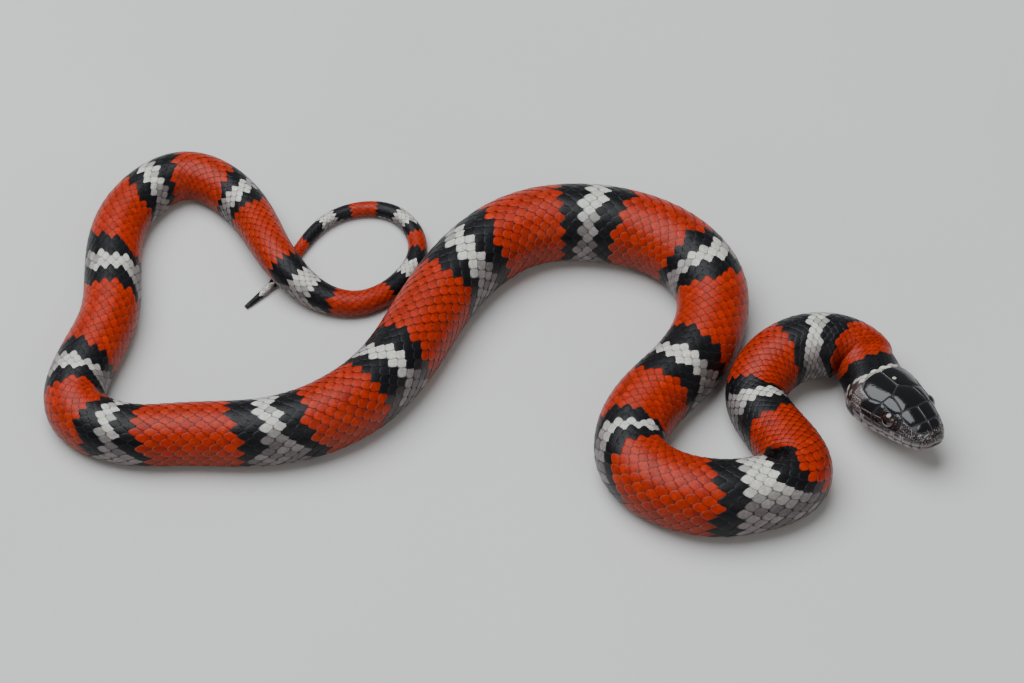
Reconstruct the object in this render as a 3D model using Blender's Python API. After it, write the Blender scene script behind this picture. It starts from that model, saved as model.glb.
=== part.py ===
# A milk snake at life size, at rest in open bends with its head a little raised.
# The body is a row of lengths that meet face to face. The head carries its large plates.
# Metres, +Z up, the belly lies on Z = 0, and the origin is under the middle of the animal.
import math

import bmesh
import bpy
import numpy as np
from mathutils import Matrix, Vector

MM = 0.001
# Gap between pieces that touch, in millimetres
GAP = 0.3

# Route of the belly line from the snout to the tip of the tail, in millimetres:
# X and Y as seen from above, and how far the belly is off the ground
ROUTE = (
    # Head, pointing towards the lower right
    (85.9, -35.1, 5.6), (82.3, -30.2, 4.5), (78.2, -24.6, 3.3),
    # Neck arch
    (75.1, -20.0, 2.4), (73.9, -14.8, 1.6), (71.6, -9.7, 1.6), (66.3, -7.3, 1.9), (60.8, -7.7, 1.9),
    (56.0, -9.8, 1.6),
    # S-bend into the front coil
    (50.4, -18.0, 0.2), (53.8, -28.0, 0.0), (57.4, -40.5, 0.0), (47.5, -45.8, 0.0),
    (34.5, -45.0, 0.0), (25.0, -37.0, 0.0), (26.5, -24.0, 0.0), (35.6, -12.0, 0.0),
    # Wide bend behind the neck, the thickest part of the body
    (41.4, 0.0, 0.0), (41.4, 11.0, 0.0), (33.3, 22.0, 0.0), (18.0, 27.5, 0.0),
    (3.0, 26.0, 0.0), (-9.0, 16.5, 0.0),
    # Long run along the front
    (-17.0, 3.5, 0.0), (-24.5, -11.5, 0.0), (-34.8, -22.7, 0.0), (-50.0, -28.6, 0.0),
    (-67.0, -29.0, 0.0), (-80.5, -28.5, 0.0),
    # Left bend and the run back
    (-89.5, -22.3, 0.0), (-88.8, -11.0, 0.0), (-84.5, 3.0, 0.0), (-84.5, 18.0, 0.0),
    (-81.8, 33.3, 0.0), (-70.0, 43.2, 0.0), (-59.3, 37.0, 0.0),
    # Low arch over the tip of the tail
    (-54.0, 28.0, 1.3), (-49.0, 17.5, 2.7), (-42.0, 10.7, 0.8),
    # Tail loop
    (-32.0, 8.8, 0.0), (-23.4, 15.4, 0.0), (-20.2, 26.0, 0.0), (-26.0, 35.0, 0.0),
    (-37.5, 34.2, 0.0), (-45.5, 24.5, 0.0), (-50.2, 16.0, 0.0), (-56.5, 8.8, 0.0),
)

# The head lies straight, from the snout towards this place
HEAD_AIM = (72.4, -16.6, 1.5)

# Half width of the body at a distance from the snout, in millimetres
GIRTH = (
    (23.5, 6.2), (28.0, 6.7), (40.6, 7.2), (56.6, 6.4), (67.6, 6.5), (82.6, 7.7),
    (102.6, 8.2), (122.6, 7.6), (142.6, 7.5), (162.6, 7.6), (182.6, 8.1), (202.6, 8.5),
    (222.6, 8.3), (242.6, 7.8), (262.6, 7.7), (280.6, 7.8), (302.6, 7.0), (322.6, 6.5),
    (352.6, 6.4), (377.6, 6.1), (402.6, 5.6), (422.6, 5.2), (437.6, 4.5), (450.6, 3.8),
    (462.6, 3.0), (477.6, 2.4), (487.6, 2.1), (502.6, 1.85), (517.6, 1.6), (530.6, 1.2),
    (539.6, 0.9), (544.6, 0.45),
)

# Where each length of neck, body and tail ends, as a distance from the snout
NECK_END = 46.0
BODY_ENDS = (
    67.0, 91.0, 114.0, 143.0, 170.0, 196.0, 224.0, 253.0, 282.0, 310.0, 333.0, 355.0,
    382.0, 408.0, 435.0, 472.0,
)
TAIL_ENDS = (494.0, 518.0, 544.6)

# Rings of colour, from the snout: front black, white and rear black begin, rear black ends
TRIADS = (
    (30.6, 35.0, 39.4, 43.8), (56.8, 59.6, 63.4, 66.8), (81.6, 87.5, 94.1, 101.1),
    (118.6, 122.6, 124.8, 127.8), (138.6, 143.4, 147.9, 152.6), (167.1, 171.6, 175.6, 179.6),
    (195.1, 200.1, 205.1, 210.1), (225.6, 231.1, 236.6, 241.6), (260.6, 265.6, 269.6, 274.1),
    (289.6, 294.6, 299.1, 305.1), (323.1, 326.9, 330.1, 333.1), (341.6, 344.6, 348.1, 352.6),
    (368.6, 373.6, 377.6, 382.6), (397.1, 401.1, 404.6, 408.6), (422.1, 425.1, 429.1, 432.6),
    (448.6, 452.6, 456.6, 461.6), (474.1, 479.1, 483.1, 487.1), (491.6, 494.6, 499.1, 503.6),
    (509.6, 513.6, 517.6, 523.1), (527.6, 536.6, 540.1, 548.6),
)
NAPE_BLACK_END = 24.5

# Cross-section of the body, as shares of its half width
BODY_HEIGHT = 1.72
WIDEST_HEIGHT = 0.79
FLAT_BELLY = 0.06
BODY_SIDES = 18
# Spacing of the rings: a fixed part and a share of the half width
RING_PITCH = (1.3, 0.24)
# The inner side of a bend keeps to this share of the bend's radius
BEND_SHARE = 0.82

# Head, in millimetres back from the snout: half width, underside and crown above the chin
HEAD_LENGTH = 23.5
HEAD_STATIONS = (
    (0.0, 1.7, 2.8, 4.9), (0.5, 2.7, 2.0, 5.6), (1.9, 3.85, 1.2, 6.6), (4.2, 4.9, 0.6, 7.8),
    (6.3, 5.5, 0.3, 8.7), (8.3, 6.1, 0.1, 9.4), (11.6, 7.0, 0.0, 9.9), (14.8, 7.7, 0.0, 10.1),
    (18.0, 7.8, 0.0, 10.2), (21.0, 7.35, 0.05, 10.4), (23.5, 6.8, 0.1, 10.6),
)
HEAD_ROLL = math.radians(8.0)
HEAD_WIDEST = 0.42
HEAD_ARC_POINTS = 23
# The lips meet along this line: back from the snout, height above the chin
MOUTH_LINE = ((0.0, 2.95), (2.0, 2.75), (6.0, 2.8), (11.0, 3.0), (15.0, 3.5), (17.0, 4.1))
JAW_START = 0.7
JAW_END = 16.6

# Eye: back from the snout, above the chin, how deep its middle is under the skin, its radius
EYE = (8.4, 6.4)
EYE_DEPTH = 1.1
EYE_RADIUS = 1.85
# The ring of scales round the eye: its distance from the eye's middle and its thickness
RIM_REACH = 2.08
RIM_THICK = 0.3
NOSTRIL = (1.7, 4.3)

# Raised head plates stand this far off the skin and their roots sink this far in
PLATE_RISE = 0.2
PLATE_ROOT = 0.45

COLOURS = {
    "red": (0.52, 0.055, 0.012, 1.0),
    "black": (0.012, 0.013, 0.018, 1.0),
    "white": (0.72, 0.72, 0.64, 1.0),
    "belly": (0.62, 0.55, 0.50, 1.0),
    "eye": (0.01, 0.006, 0.005, 1.0),
}


def clear_scene():
    for old in list(bpy.data.objects):
        bpy.data.objects.remove(old)


def material(name, roughness):
    made = bpy.data.materials.get(name)
    if made is None:
        made = bpy.data.materials.new(name)
        made.use_nodes = True
        shader = made.node_tree.nodes["Principled BSDF"]
        shader.inputs["Base Color"].default_value = COLOURS[name]
        shader.inputs["Roughness"].default_value = roughness
        shader.inputs["Metallic"].default_value = 0.0
    return made


SKIN_COLOURS = ("red", "black", "white", "belly")


def give_skin(thing):
    for name in SKIN_COLOURS:
        thing.data.materials.append(material(name, 0.35))


def smooth_curve(knots, values):
    """A natural cubic curve: a function that gives the values at any place between the knots."""
    t = np.asarray(knots, float)
    p = np.asarray(values, float).reshape(len(t), -1)
    h = np.diff(t)
    n = len(t)
    matrix = np.eye(n)
    right = np.zeros_like(p)
    for i in range(1, n - 1):
        matrix[i, i - 1:i + 2] = h[i - 1], 2.0 * (h[i - 1] + h[i]), h[i]
        right[i] = 6.0 * ((p[i + 1] - p[i]) / h[i] - (p[i] - p[i - 1]) / h[i - 1])
    bend = np.linalg.solve(matrix, right)

    def at(where):
        u = np.atleast_1d(np.asarray(where, float))
        k = np.clip(np.searchsorted(t, u, side="right") - 1, 0, n - 2)
        a = ((t[k + 1] - u) / h[k])[:, None]
        b = ((u - t[k]) / h[k])[:, None]
        step = (h[k] ** 2)[:, None]
        return a * p[k] + b * p[k + 1] + ((a ** 3 - a) * bend[k] + (b ** 3 - b) * bend[k + 1]) * step / 6.0

    return at


class Spine:
    """The belly line with its direction and half width at any distance from the snout."""

    def __init__(self):
        points = np.array(ROUTE)
        chords = np.linalg.norm(np.diff(points[:, :2], axis=0), axis=1)
        knots = np.concatenate(([0.0], np.cumsum(chords)))
        dense = smooth_curve(knots, points)(np.linspace(0.0, knots[-1], 6000))
        run = np.concatenate(([0.0], np.cumsum(np.linalg.norm(np.diff(dense, axis=0), axis=1))))
        self.length = run[-1]
        self.s = np.arange(0.0, self.length, 0.25)
        self.p = np.stack([np.interp(self.s, run, dense[:, i]) for i in range(3)], axis=1)
        self.p[:, 2] = np.maximum(self.p[:, 2], 0.0)
        along = np.gradient(self.p, self.s, axis=0)
        self.t = along / np.linalg.norm(along, axis=1)[:, None]
        where, half = zip(*GIRTH)
        widths = np.interp(self.s, where, half)
        broad = np.hanning(61)
        broad /= broad.sum()
        self.half = np.convolve(np.pad(widths, 30, mode="edge"), broad, "valid")

    def read(self, s, table):
        if table.ndim == 1:
            return float(np.interp(s, self.s, table))
        return np.array([np.interp(s, self.s, table[:, i]) for i in range(table.shape[1])])


SPINE = Spine()


def head_frame():
    """Turns head measures (forward, left, up, from the chin under the snout) to millimetres."""
    snout = Vector(ROUTE[0])
    forward = (snout - Vector(HEAD_AIM)).normalized()
    left = Vector((0.0, 0.0, 1.0)).cross(forward).normalized()
    up = forward.cross(left)
    turn = Matrix.Rotation(-HEAD_ROLL, 3, forward)
    left = turn @ left
    up = turn @ up
    frame = Matrix((
        (forward.x, left.x, up.x, snout.x),
        (forward.y, left.y, up.y, snout.y),
        (forward.z, left.z, up.z, snout.z),
        (0.0, 0.0, 0.0, 1.0),
    ))
    return frame


HEAD = head_frame()
# Distance from the snout at which the head's rear face stands
HEAD_JOINT = 23.5
# Stretches over which the neck leaves the head's line, turns out of it, and loses the head's roll
NECK_LEAVE = (17.0, 22.0)
NECK_TURN = 8.0
NECK_ROLL = 14.0
# Over this stretch the head's section becomes the body's
NECK_JOIN = 12.0


def ease(value, start, end):
    share = min(max((value - start) / (end - start), 0.0), 1.0)
    return share * share * (3.0 - 2.0 * share)


def head_swing(s):
    """How far the route stands off the head's straight line: along it, and aside as a vector."""
    back = -np.array(HEAD.col[0].xyz)
    line = np.array(ROUTE[0]) + back * s
    off = SPINE.read(s, SPINE.p) - line
    along = float(off @ back)
    return line, back, along, (off - along * back) * ease(s, *NECK_LEAVE)


def ring_frame(s):
    """Place of the body's cross-section at a distance from the snout, the animal's right, and up."""
    line, back, slip, aside = head_swing(s)
    turned = ease(s, HEAD_JOINT, HEAD_JOINT + NECK_TURN)
    place = line + aside + turned * slip * back
    along = SPINE.read(s, SPINE.t)
    along = (1.0 - turned) * back + turned * along / np.linalg.norm(along)
    along /= np.linalg.norm(along)
    right = np.cross((0.0, 0.0, 1.0), along)
    right /= np.linalg.norm(right)
    up = np.cross(along, right)
    roll = (1.0 - ease(s, HEAD_JOINT, HEAD_JOINT + NECK_ROLL)) * HEAD_ROLL
    right, up = right * math.cos(roll) + up * math.sin(roll), up * math.cos(roll) - right * math.sin(roll)
    return place, right, up


def bend_of_rings():
    """Bend of the route as the cross-sections follow it, one value for each of the spine's places."""
    turns = [ring_frame(s)[1] for s in SPINE.s]
    heading = np.unwrap([math.atan2(right[1], right[0]) for right in turns])
    soft = np.hanning(13)
    return np.convolve(np.pad(np.gradient(heading, SPINE.s), 6, mode="edge"), soft / soft.sum(), "valid")


RING_BEND = bend_of_rings()


def in_place(point):
    """Turns head measures to millimetres, with the rear of the head swung over to meet the neck."""
    _, _, _, aside = head_swing(max(-point.x, 0.0))
    return HEAD @ point + Vector(aside)


def loaf(angle):
    """Body section at an angle from its right side: shares of half width across and above the belly."""
    c = math.cos(angle)
    s = math.sin(angle)
    if s >= 0.0:
        return c, WIDEST_HEIGHT + s * (BODY_HEIGHT - WIDEST_HEIGHT)
    across = math.copysign(abs(c) ** 0.8, c)
    return across, max(WIDEST_HEIGHT - abs(s) ** 0.8 * (WIDEST_HEIGHT + FLAT_BELLY), 0.0)


def body_ring(s):
    place, right, up = ring_frame(s)
    half = SPINE.read(s, SPINE.half)
    bend = SPINE.read(s, RING_BEND)
    room = min(1.0, BEND_SHARE / max(abs(bend) * half, 1e-6))
    neck = ease(s, HEAD_JOINT, HEAD_JOINT + NECK_JOIN)
    ring = []
    for i in range(BODY_SIDES):
        angle = math.tau * i / BODY_SIDES + math.pi / 2.0
        across, height = loaf(angle)
        joint = head_section(HEAD_LENGTH, angle)
        aside = neck * across * half + (1.0 - neck) * joint.y
        if across * bend > 0.0:
            aside *= room
        rise = neck * height * half + (1.0 - neck) * joint.z
        ring.append(place + right * aside + up * rise)
    return ring


def colour_at(s):
    if s < NAPE_BLACK_END:
        return "black"
    for front, white, rear, end in TRIADS:
        if front <= s < end:
            return "white" if white <= s < rear else "black"
    return "red"


def new_object(name, bm):
    bmesh.ops.recalc_face_normals(bm, faces=bm.faces)
    mesh = bpy.data.meshes.new(name)
    bm.to_mesh(mesh)
    bm.free()
    mesh.shade_smooth()
    mesh.set_sharp_from_angle(angle=math.radians(40.0))
    made = bpy.data.objects.new(name, mesh)
    bpy.context.scene.collection.objects.link(made)
    return made


def bridge(bm, rings, marks=None):
    """Joins rings of points into a closed skin with a fan over each end."""
    rows = [[bm.verts.new(Vector(p) * MM) for p in ring] for ring in rings]
    count = len(rows[0])
    for k in range(len(rows) - 1):
        for i in range(count):
            j = (i + 1) % count
            face = bm.faces.new((rows[k][i], rows[k][j], rows[k + 1][j], rows[k + 1][i]))
            if marks is not None:
                face.material_index = marks[k]
    for row, mark in ((rows[0], 0), (rows[-1], -1)):
        middle = sum((v.co for v in row), Vector()) / count
        hub = bm.verts.new(middle)
        for i in range(count):
            face = bm.faces.new((row[i], row[(i + 1) % count], hub))
            if marks is not None:
                face.material_index = marks[mark]
    return rows


def body_length(name, start, end, tip=False):
    """One length of the animal, from just past its front joint to its rear joint."""
    stops = [start]
    last = end - (0.15 if tip else 0.0)
    while stops[-1] < last - 0.01:
        stops.append(stops[-1] + RING_PITCH[0] + RING_PITCH[1] * SPINE.read(stops[-1], SPINE.half))
    stretch = (last - start) / (stops[-1] - start)
    stops = [start + (s - start) * stretch for s in stops]
    rings = [body_ring(s) for s in stops]
    place, right, up = ring_frame(start)
    rings[0] = [p + np.cross(right, up) * GAP for p in rings[0]]
    bm = bmesh.new()
    marks = [SKIN_COLOURS.index(colour_at((a + b) / 2.0)) for a, b in zip(stops, stops[1:])]
    bridge(bm, rings, marks)
    made = new_object(name, bm)
    give_skin(made)
    return made


HEAD_SHAPE = smooth_curve(
    [math.sqrt(back) for back, _, _, _ in HEAD_STATIONS],
    [station[1:] for station in HEAD_STATIONS],
)
MOUTH_HEIGHT = smooth_curve([back for back, _ in MOUTH_LINE], [height for _, height in MOUTH_LINE])


def head_section(back, angle):
    """Point on the head's skin, in head measures, at an angle up from its left side."""
    half, under, crown = HEAD_SHAPE(math.sqrt(max(back, 0.0)))[0]
    widest = under + (crown - under) * HEAD_WIDEST
    c = math.cos(angle)
    s = math.sin(angle)
    across = math.copysign(abs(c) ** 0.78, c) * half
    rise = abs(s) ** 0.9
    height = widest + rise * (crown - widest) if s >= 0.0 else widest - rise * (widest - under)
    return Vector((-back, across, height))


def head_skin(back, angle, out):
    """Point a distance off the head's skin."""
    here = head_section(back, angle)
    step = 0.05
    ahead = head_section(max(back - step, 0.001), angle) - head_section(back + step, angle)
    round_it = head_section(back, angle + step) - head_section(back, angle - step)
    normal = ahead.cross(round_it)
    middle = head_section(back, math.pi / 2.0)
    middle.z = (middle.z + head_section(back, -math.pi / 2.0).z) / 2.0
    if normal.dot(here - middle) < 0.0:
        normal.negate()
    return here + normal.normalized() * out


def angle_for_height(back, height):
    """Angle on the left side of the head's section at a height above the chin."""
    low, high = -math.pi / 2.0, math.pi / 2.0
    for _ in range(30):
        middle = (low + high) / 2.0
        if head_section(back, middle).z < height:
            low = middle
        else:
            high = middle
    return (low + high) / 2.0


def angle_for_width(back, across):
    """Angle on the top left of the head's section at a distance off the middle."""
    low, high = 0.0, math.pi / 2.0
    for _ in range(30):
        middle = (low + high) / 2.0
        if head_section(back, middle).y > across:
            low = middle
        else:
            high = middle
    return (low + high) / 2.0


def mouth_height(back):
    return float(MOUTH_HEIGHT(back)[0, 0])


def head_ring(back, split):
    """Section of the upper head: the whole section, or only the part above the lips."""
    if split:
        lip = angle_for_height(back, mouth_height(back) + GAP / 2.0)
    else:
        lip = math.radians(-38.0)
    ring = []
    for i in range(HEAD_ARC_POINTS):
        share = i / (HEAD_ARC_POINTS - 1.0)
        ring.append(head_section(back, lip + (math.pi - 2.0 * lip) * share))
    for share in (0.75, 0.5, 0.25):
        if split:
            ring.append(ring[0] * share + ring[HEAD_ARC_POINTS - 1] * (1.0 - share))
        else:
            angle = -math.pi / 2.0 + (share - 0.5) * math.radians(70.0)
            ring.append(head_section(back, angle))
    ring[HEAD_ARC_POINTS:] = reversed(ring[HEAD_ARC_POINTS:])
    return [in_place(p) for p in ring]


def steps(first, last, count):
    return [first + (last - first) * i / count for i in range(count + 1)]


def plate(bm, corners, rise=PLATE_RISE, cuts=3):
    """A raised plate on the head. Corners are (back, angle) pairs in order round its edge."""
    edge = []
    for (b0, a0), (b1, a1) in zip(corners, corners[1:] + corners[:1]):
        for i in range(cuts):
            share = i / cuts
            edge.append((b0 + (b1 - b0) * share, a0 + (a1 - a0) * share))
    mid_back = sum(b for b, _ in edge) / len(edge)
    mid_angle = sum(a for _, a in edge) / len(edge)

    def row(share, out):
        points = []
        for b, a in edge:
            back = mid_back + (b - mid_back) * share
            angle = mid_angle + (a - mid_angle) * share
            points.append(in_place(head_skin(back, angle, out)))
        return points

    rows = [row(1.0, -PLATE_ROOT), row(1.0, rise * 0.35), row(0.9, rise)]
    if cuts > 2:
        rows.append(row(0.5, rise))
    bridge(bm, rows)


def mirrored(corners):
    return [(back, math.pi - angle) for back, angle in corners]


def crown_corner(back, across):
    return back, angle_for_width(back, across)


def side_corner(back, height):
    return back, angle_for_height(back, height)


def crown_plates():
    """Corner lists of the large plates on top of the head, left side and middle."""
    middle = math.pi / 2.0
    gap = 0.12
    pairs = {
        "internasal": [crown_corner(1.3, gap), crown_corner(2.9, gap), crown_corner(3.1, 2.6),
                       crown_corner(2.6, 3.1), crown_corner(1.4, 2.4)],
        "prefrontal": [crown_corner(3.2, gap), crown_corner(6.1, gap), crown_corner(6.6, 3.2),
                       crown_corner(5.4, 4.1), crown_corner(3.5, 3.5), crown_corner(3.3, 2.4)],
        "supraocular": [crown_corner(7.1, 3.5), crown_corner(10.9, 2.85), crown_corner(11.1, 4.9),
                        crown_corner(9.2, 4.75), crown_corner(7.2, 4.3)],
        "parietal": [crown_corner(13.1, gap), crown_corner(11.4, 2.7), crown_corner(11.5, 5.1),
                     crown_corner(14.2, 6.0), crown_corner(17.4, 5.5), crown_corner(19.6, 3.2),
                     crown_corner(20.0, 1.4), crown_corner(19.2, gap)],
    }
    frontal_left = [crown_corner(6.9, 3.2), crown_corner(8.8, 2.85), crown_corner(11.0, 2.5)]
    frontal = [(6.3, middle)] + frontal_left + [(12.8, middle)]
    frontal += [(back, math.pi - angle) for back, angle in reversed(frontal_left)]
    return pairs, frontal


def side_plates():
    """Corner lists of the plates on the left side: lips, nose, before and behind the eye."""
    found = []
    upper = (0.9, 2.5, 4.6, 6.8, 9.1, 11.6, 14.2, 16.6)
    for k, (front, rear) in enumerate(zip(upper, upper[1:])):
        tall = (1.25, 1.5, 1.55, 1.4, 1.35, 1.75, 1.6)[k]
        low_front = mouth_height(front) + 0.3
        low_rear = mouth_height(rear) + 0.3
        found.append([side_corner(front + 0.08, low_front), side_corner(rear - 0.08, low_rear),
                      side_corner(rear - 0.08, low_rear + tall), side_corner(front + 0.08, low_front + tall)])
    lower = (1.1, 2.6, 4.4, 6.3, 8.3, 10.4, 12.5, 14.4, 16.3)
    lower_lips = []
    for front, rear in zip(lower, lower[1:]):
        high_front = mouth_height(front) - 0.3
        high_rear = mouth_height(rear) - 0.3
        tall_front = min(1.3, (high_front - head_section(front, -math.pi / 2.0).z) * 0.6)
        tall_rear = min(1.3, (high_rear - head_section(rear, -math.pi / 2.0).z) * 0.6)
        lower_lips.append([side_corner(front + 0.08, high_front), side_corner(rear - 0.08, high_rear),
                           side_corner(rear - 0.08, high_rear - tall_rear),
                           side_corner(front + 0.08, high_front - tall_front)])
    found.append([side_corner(0.9, 4.45), side_corner(3.2, 4.6), side_corner(3.3, 5.9), side_corner(1.4, 5.6)])
    found.append([side_corner(3.5, 4.6), side_corner(5.7, 4.6), side_corner(5.6, 6.4), side_corner(3.7, 6.2)])
    found.append([side_corner(10.6, 4.6), side_corner(12.2, 4.9), side_corner(12.0, 6.2), side_corner(10.7, 6.1)])
    found.append([side_corner(10.6, 6.3), side_corner(11.9, 6.4), side_corner(11.5, 7.6), side_corner(10.5, 7.5)])
    found.append([side_corner(12.4, 5.2), side_corner(15.8, 5.6), side_corner(15.4, 7.4), side_corner(12.2, 7.2)])
    found.append([side_corner(16.1, 5.6), side_corner(19.2, 5.8), side_corner(18.9, 7.6), side_corner(15.7, 7.4)])
    return found, lower_lips


def pieces_of(groups):
    """One closed mesh object for each plate, gathered for a union."""
    holder = bpy.data.collections.new("plates")
    bpy.context.scene.collection.children.link(holder)
    for corners, cuts in groups:
        bm = bmesh.new()
        plate(bm, corners, cuts=cuts)
        bmesh.ops.recalc_face_normals(bm, faces=bm.faces)
        mesh = bpy.data.meshes.new("plate")
        bm.to_mesh(mesh)
        bm.free()
        holder.objects.link(bpy.data.objects.new("plate", mesh))
    return holder


def apply_boolean(thing, operation, other):
    """Fuses or cuts with an object or a collection of closed objects, then removes them."""
    modifier = thing.modifiers.new("shape", "BOOLEAN")
    modifier.operation = operation
    modifier.solver = "EXACT"
    if isinstance(other, bpy.types.Collection):
        modifier.operand_type = "COLLECTION"
        modifier.collection = other
    else:
        modifier.object = other
    graph = bpy.context.evaluated_depsgraph_get()
    mesh = bpy.data.meshes.new_from_object(thing.evaluated_get(graph))
    thing.modifiers.clear()
    thing.data = mesh
    if isinstance(other, bpy.types.Collection):
        for piece in list(other.objects):
            bpy.data.objects.remove(piece)
        bpy.data.collections.remove(other)
    else:
        bpy.data.objects.remove(other)


def keep_largest(thing):
    """Keeps the largest closed surface and drops loose scraps."""
    bm = bmesh.new()
    bm.from_mesh(thing.data)
    bmesh.ops.remove_doubles(bm, verts=bm.verts, dist=0.002 * MM)
    bmesh.ops.triangulate(bm, faces=bm.faces)
    left = set(bm.verts)
    best = []
    while left:
        start = left.pop()
        found = [start]
        edge = [start]
        while edge:
            here = edge.pop()
            for link in here.link_edges:
                other = link.other_vert(here)
                if other in left:
                    left.remove(other)
                    found.append(other)
                    edge.append(other)
        if len(found) > len(best):
            best = found
    keep = set(best)
    bmesh.ops.delete(bm, geom=[v for v in bm.verts if v not in keep], context="VERTS")
    bm.to_mesh(thing.data)
    bm.free()
    thing.data.shade_smooth()
    thing.data.set_sharp_from_angle(angle=math.radians(30.0))


def ball(name, centre, radius, segments, rings):
    bm = bmesh.new()
    place = Matrix.Translation((HEAD @ Vector(centre)) * MM)
    bmesh.ops.create_uvsphere(bm, u_segments=segments, v_segments=rings, radius=radius * MM, matrix=place)
    return new_object(name, bm)


def on_side(side, back, angle, out):
    """Point off the head's skin on the left side, or its mirror image on the right."""
    return head_skin(back, angle if side > 0.0 else math.pi - angle, out)


def eye_middle(side):
    back, height = EYE
    return on_side(side, back, angle_for_height(back, height), -EYE_DEPTH)


def eye_rim(side):
    """The raised ring of small scales round the eye, laid on the skin."""
    eye_back, eye_height = EYE
    bm = bmesh.new()
    rings = []
    around, tube = 20, 6
    for i in range(around):
        a = math.tau * i / around
        ring = []
        for j in range(tube):
            b = math.tau * j / tube
            reach = RIM_REACH + RIM_THICK * math.cos(b)
            back = eye_back - reach * math.cos(a)
            angle = angle_for_height(back, eye_height + reach * math.sin(a))
            place = on_side(side, back, angle, 0.1 + RIM_THICK * math.sin(b))
            ring.append(bm.verts.new((HEAD @ place) * MM))
        rings.append(ring)
    for i in range(around):
        for j in range(tube):
            k, m = (i + 1) % around, (j + 1) % tube
            bm.faces.new((rings[i][j], rings[k][j], rings[k][m], rings[i][m]))
    bmesh.ops.recalc_face_normals(bm, faces=bm.faces)
    mesh = bpy.data.meshes.new("rim")
    bm.to_mesh(mesh)
    bm.free()
    return bpy.data.objects.new("rim", mesh)


def make_head():
    """Upper head: lofted skin, plates and eye rims fused on, then sockets and nostrils cut."""
    front = [0.0, 0.2, 0.5, 0.95, 1.5] + steps(2.2, JAW_END + GAP, 15)
    rear = steps(JAW_END + GAP + 0.05, HEAD_LENGTH, 6)
    bm = bmesh.new()
    bridge(bm, [head_ring(b, True) for b in front] + [head_ring(b, False) for b in rear])
    head = new_object("head", bm)
    pairs, frontal = crown_plates()
    sides, _ = side_plates()
    groups = [(frontal, 3)]
    for corners in pairs.values():
        groups += [(corners, 3), (mirrored(corners), 3)]
    for corners in sides:
        groups += [(corners, 2), (mirrored(corners), 2)]
    holder = pieces_of(groups)
    for side in (1.0, -1.0):
        holder.objects.link(eye_rim(side))
    apply_boolean(head, "UNION", holder)
    for side in (1.0, -1.0):
        apply_boolean(head, "DIFFERENCE", ball("socket", eye_middle(side), EYE_RADIUS + GAP, 20, 12))
        back, height = NOSTRIL
        hole = on_side(side, back, angle_for_height(back, height), 0.15)
        apply_boolean(head, "DIFFERENCE", ball("nostril", hole, 0.38, 10, 8))
    keep_largest(head)
    give_skin(head)
    paint(head)
    return head


def make_jaw():
    """Lower jaw: lofted below the lip line, with the plates of the lower lip fused on."""
    rings = []
    stops = [JAW_START, 1.2, 1.9] + steps(2.8, JAW_END, 12)
    for back in stops:
        lip = angle_for_height(back, mouth_height(back) - GAP / 2.0)
        arc = 17
        ring = [head_section(back, lip + (-math.pi - 2.0 * lip) * i / (arc - 1.0)) for i in range(arc)]
        first, last = ring[0], ring[-1]
        ring += [last * (1.0 - share) + first * share for share in (0.25, 0.5, 0.75)]
        rings.append([HEAD @ p for p in ring])
    bm = bmesh.new()
    bridge(bm, rings)
    jaw = new_object("lower_jaw", bm)
    _, lower_lips = side_plates()
    groups = []
    for corners in lower_lips:
        groups += [(corners, 2), (mirrored(corners), 2)]
    apply_boolean(jaw, "UNION", pieces_of(groups))
    keep_largest(jaw)
    give_skin(jaw)
    for face in jaw.data.polygons:
        face.material_index = SKIN_COLOURS.index("belly")
    return jaw


def paint(head):
    """Black crown and face, with the pale collar at the rear of the head."""
    back_to_head = HEAD.inverted()
    for face in head.data.polygons:
        place = back_to_head @ (face.center / MM)
        collar = 20.6 - 0.16 * max(0.0, 9.0 - place.z) ** 1.6
        pale = -place.x > collar or place.z < 1.6
        face.material_index = SKIN_COLOURS.index("white" if pale else "black")


def make_eyes():
    eyes = []
    for name, side in (("eye_left", 1.0), ("eye_right", -1.0)):
        eye = ball(name, eye_middle(side), EYE_RADIUS, 16, 10)
        eye.data.materials.append(material("eye", 0.08))
        eyes.append(eye)
    return eyes


def centre_on_origin(things):
    """Moves the whole animal so that the origin is under the middle of its box."""
    corners = [v.co for thing in things for v in thing.data.vertices]
    low = [min(c[i] for c in corners) for i in range(3)]
    high = [max(c[i] for c in corners) for i in range(3)]
    shift = Vector((-(low[0] + high[0]) / 2.0, -(low[1] + high[1]) / 2.0, -low[2]))
    for thing in things:
        thing.data.transform(Matrix.Translation(shift))


clear_scene()
snake = [make_head(), make_jaw()] + make_eyes()
snake.append(body_length("neck", HEAD_JOINT, NECK_END))
start = NECK_END
for number, end in enumerate(BODY_ENDS, 1):
    snake.append(body_length(f"body_{number:02d}", start, end))
    start = end
for number, end in enumerate(TAIL_ENDS, 1):
    snake.append(body_length(f"tail_{number}", start, end, tip=number == len(TAIL_ENDS)))
    start = end
centre_on_origin(snake)
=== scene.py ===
import math

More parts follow.
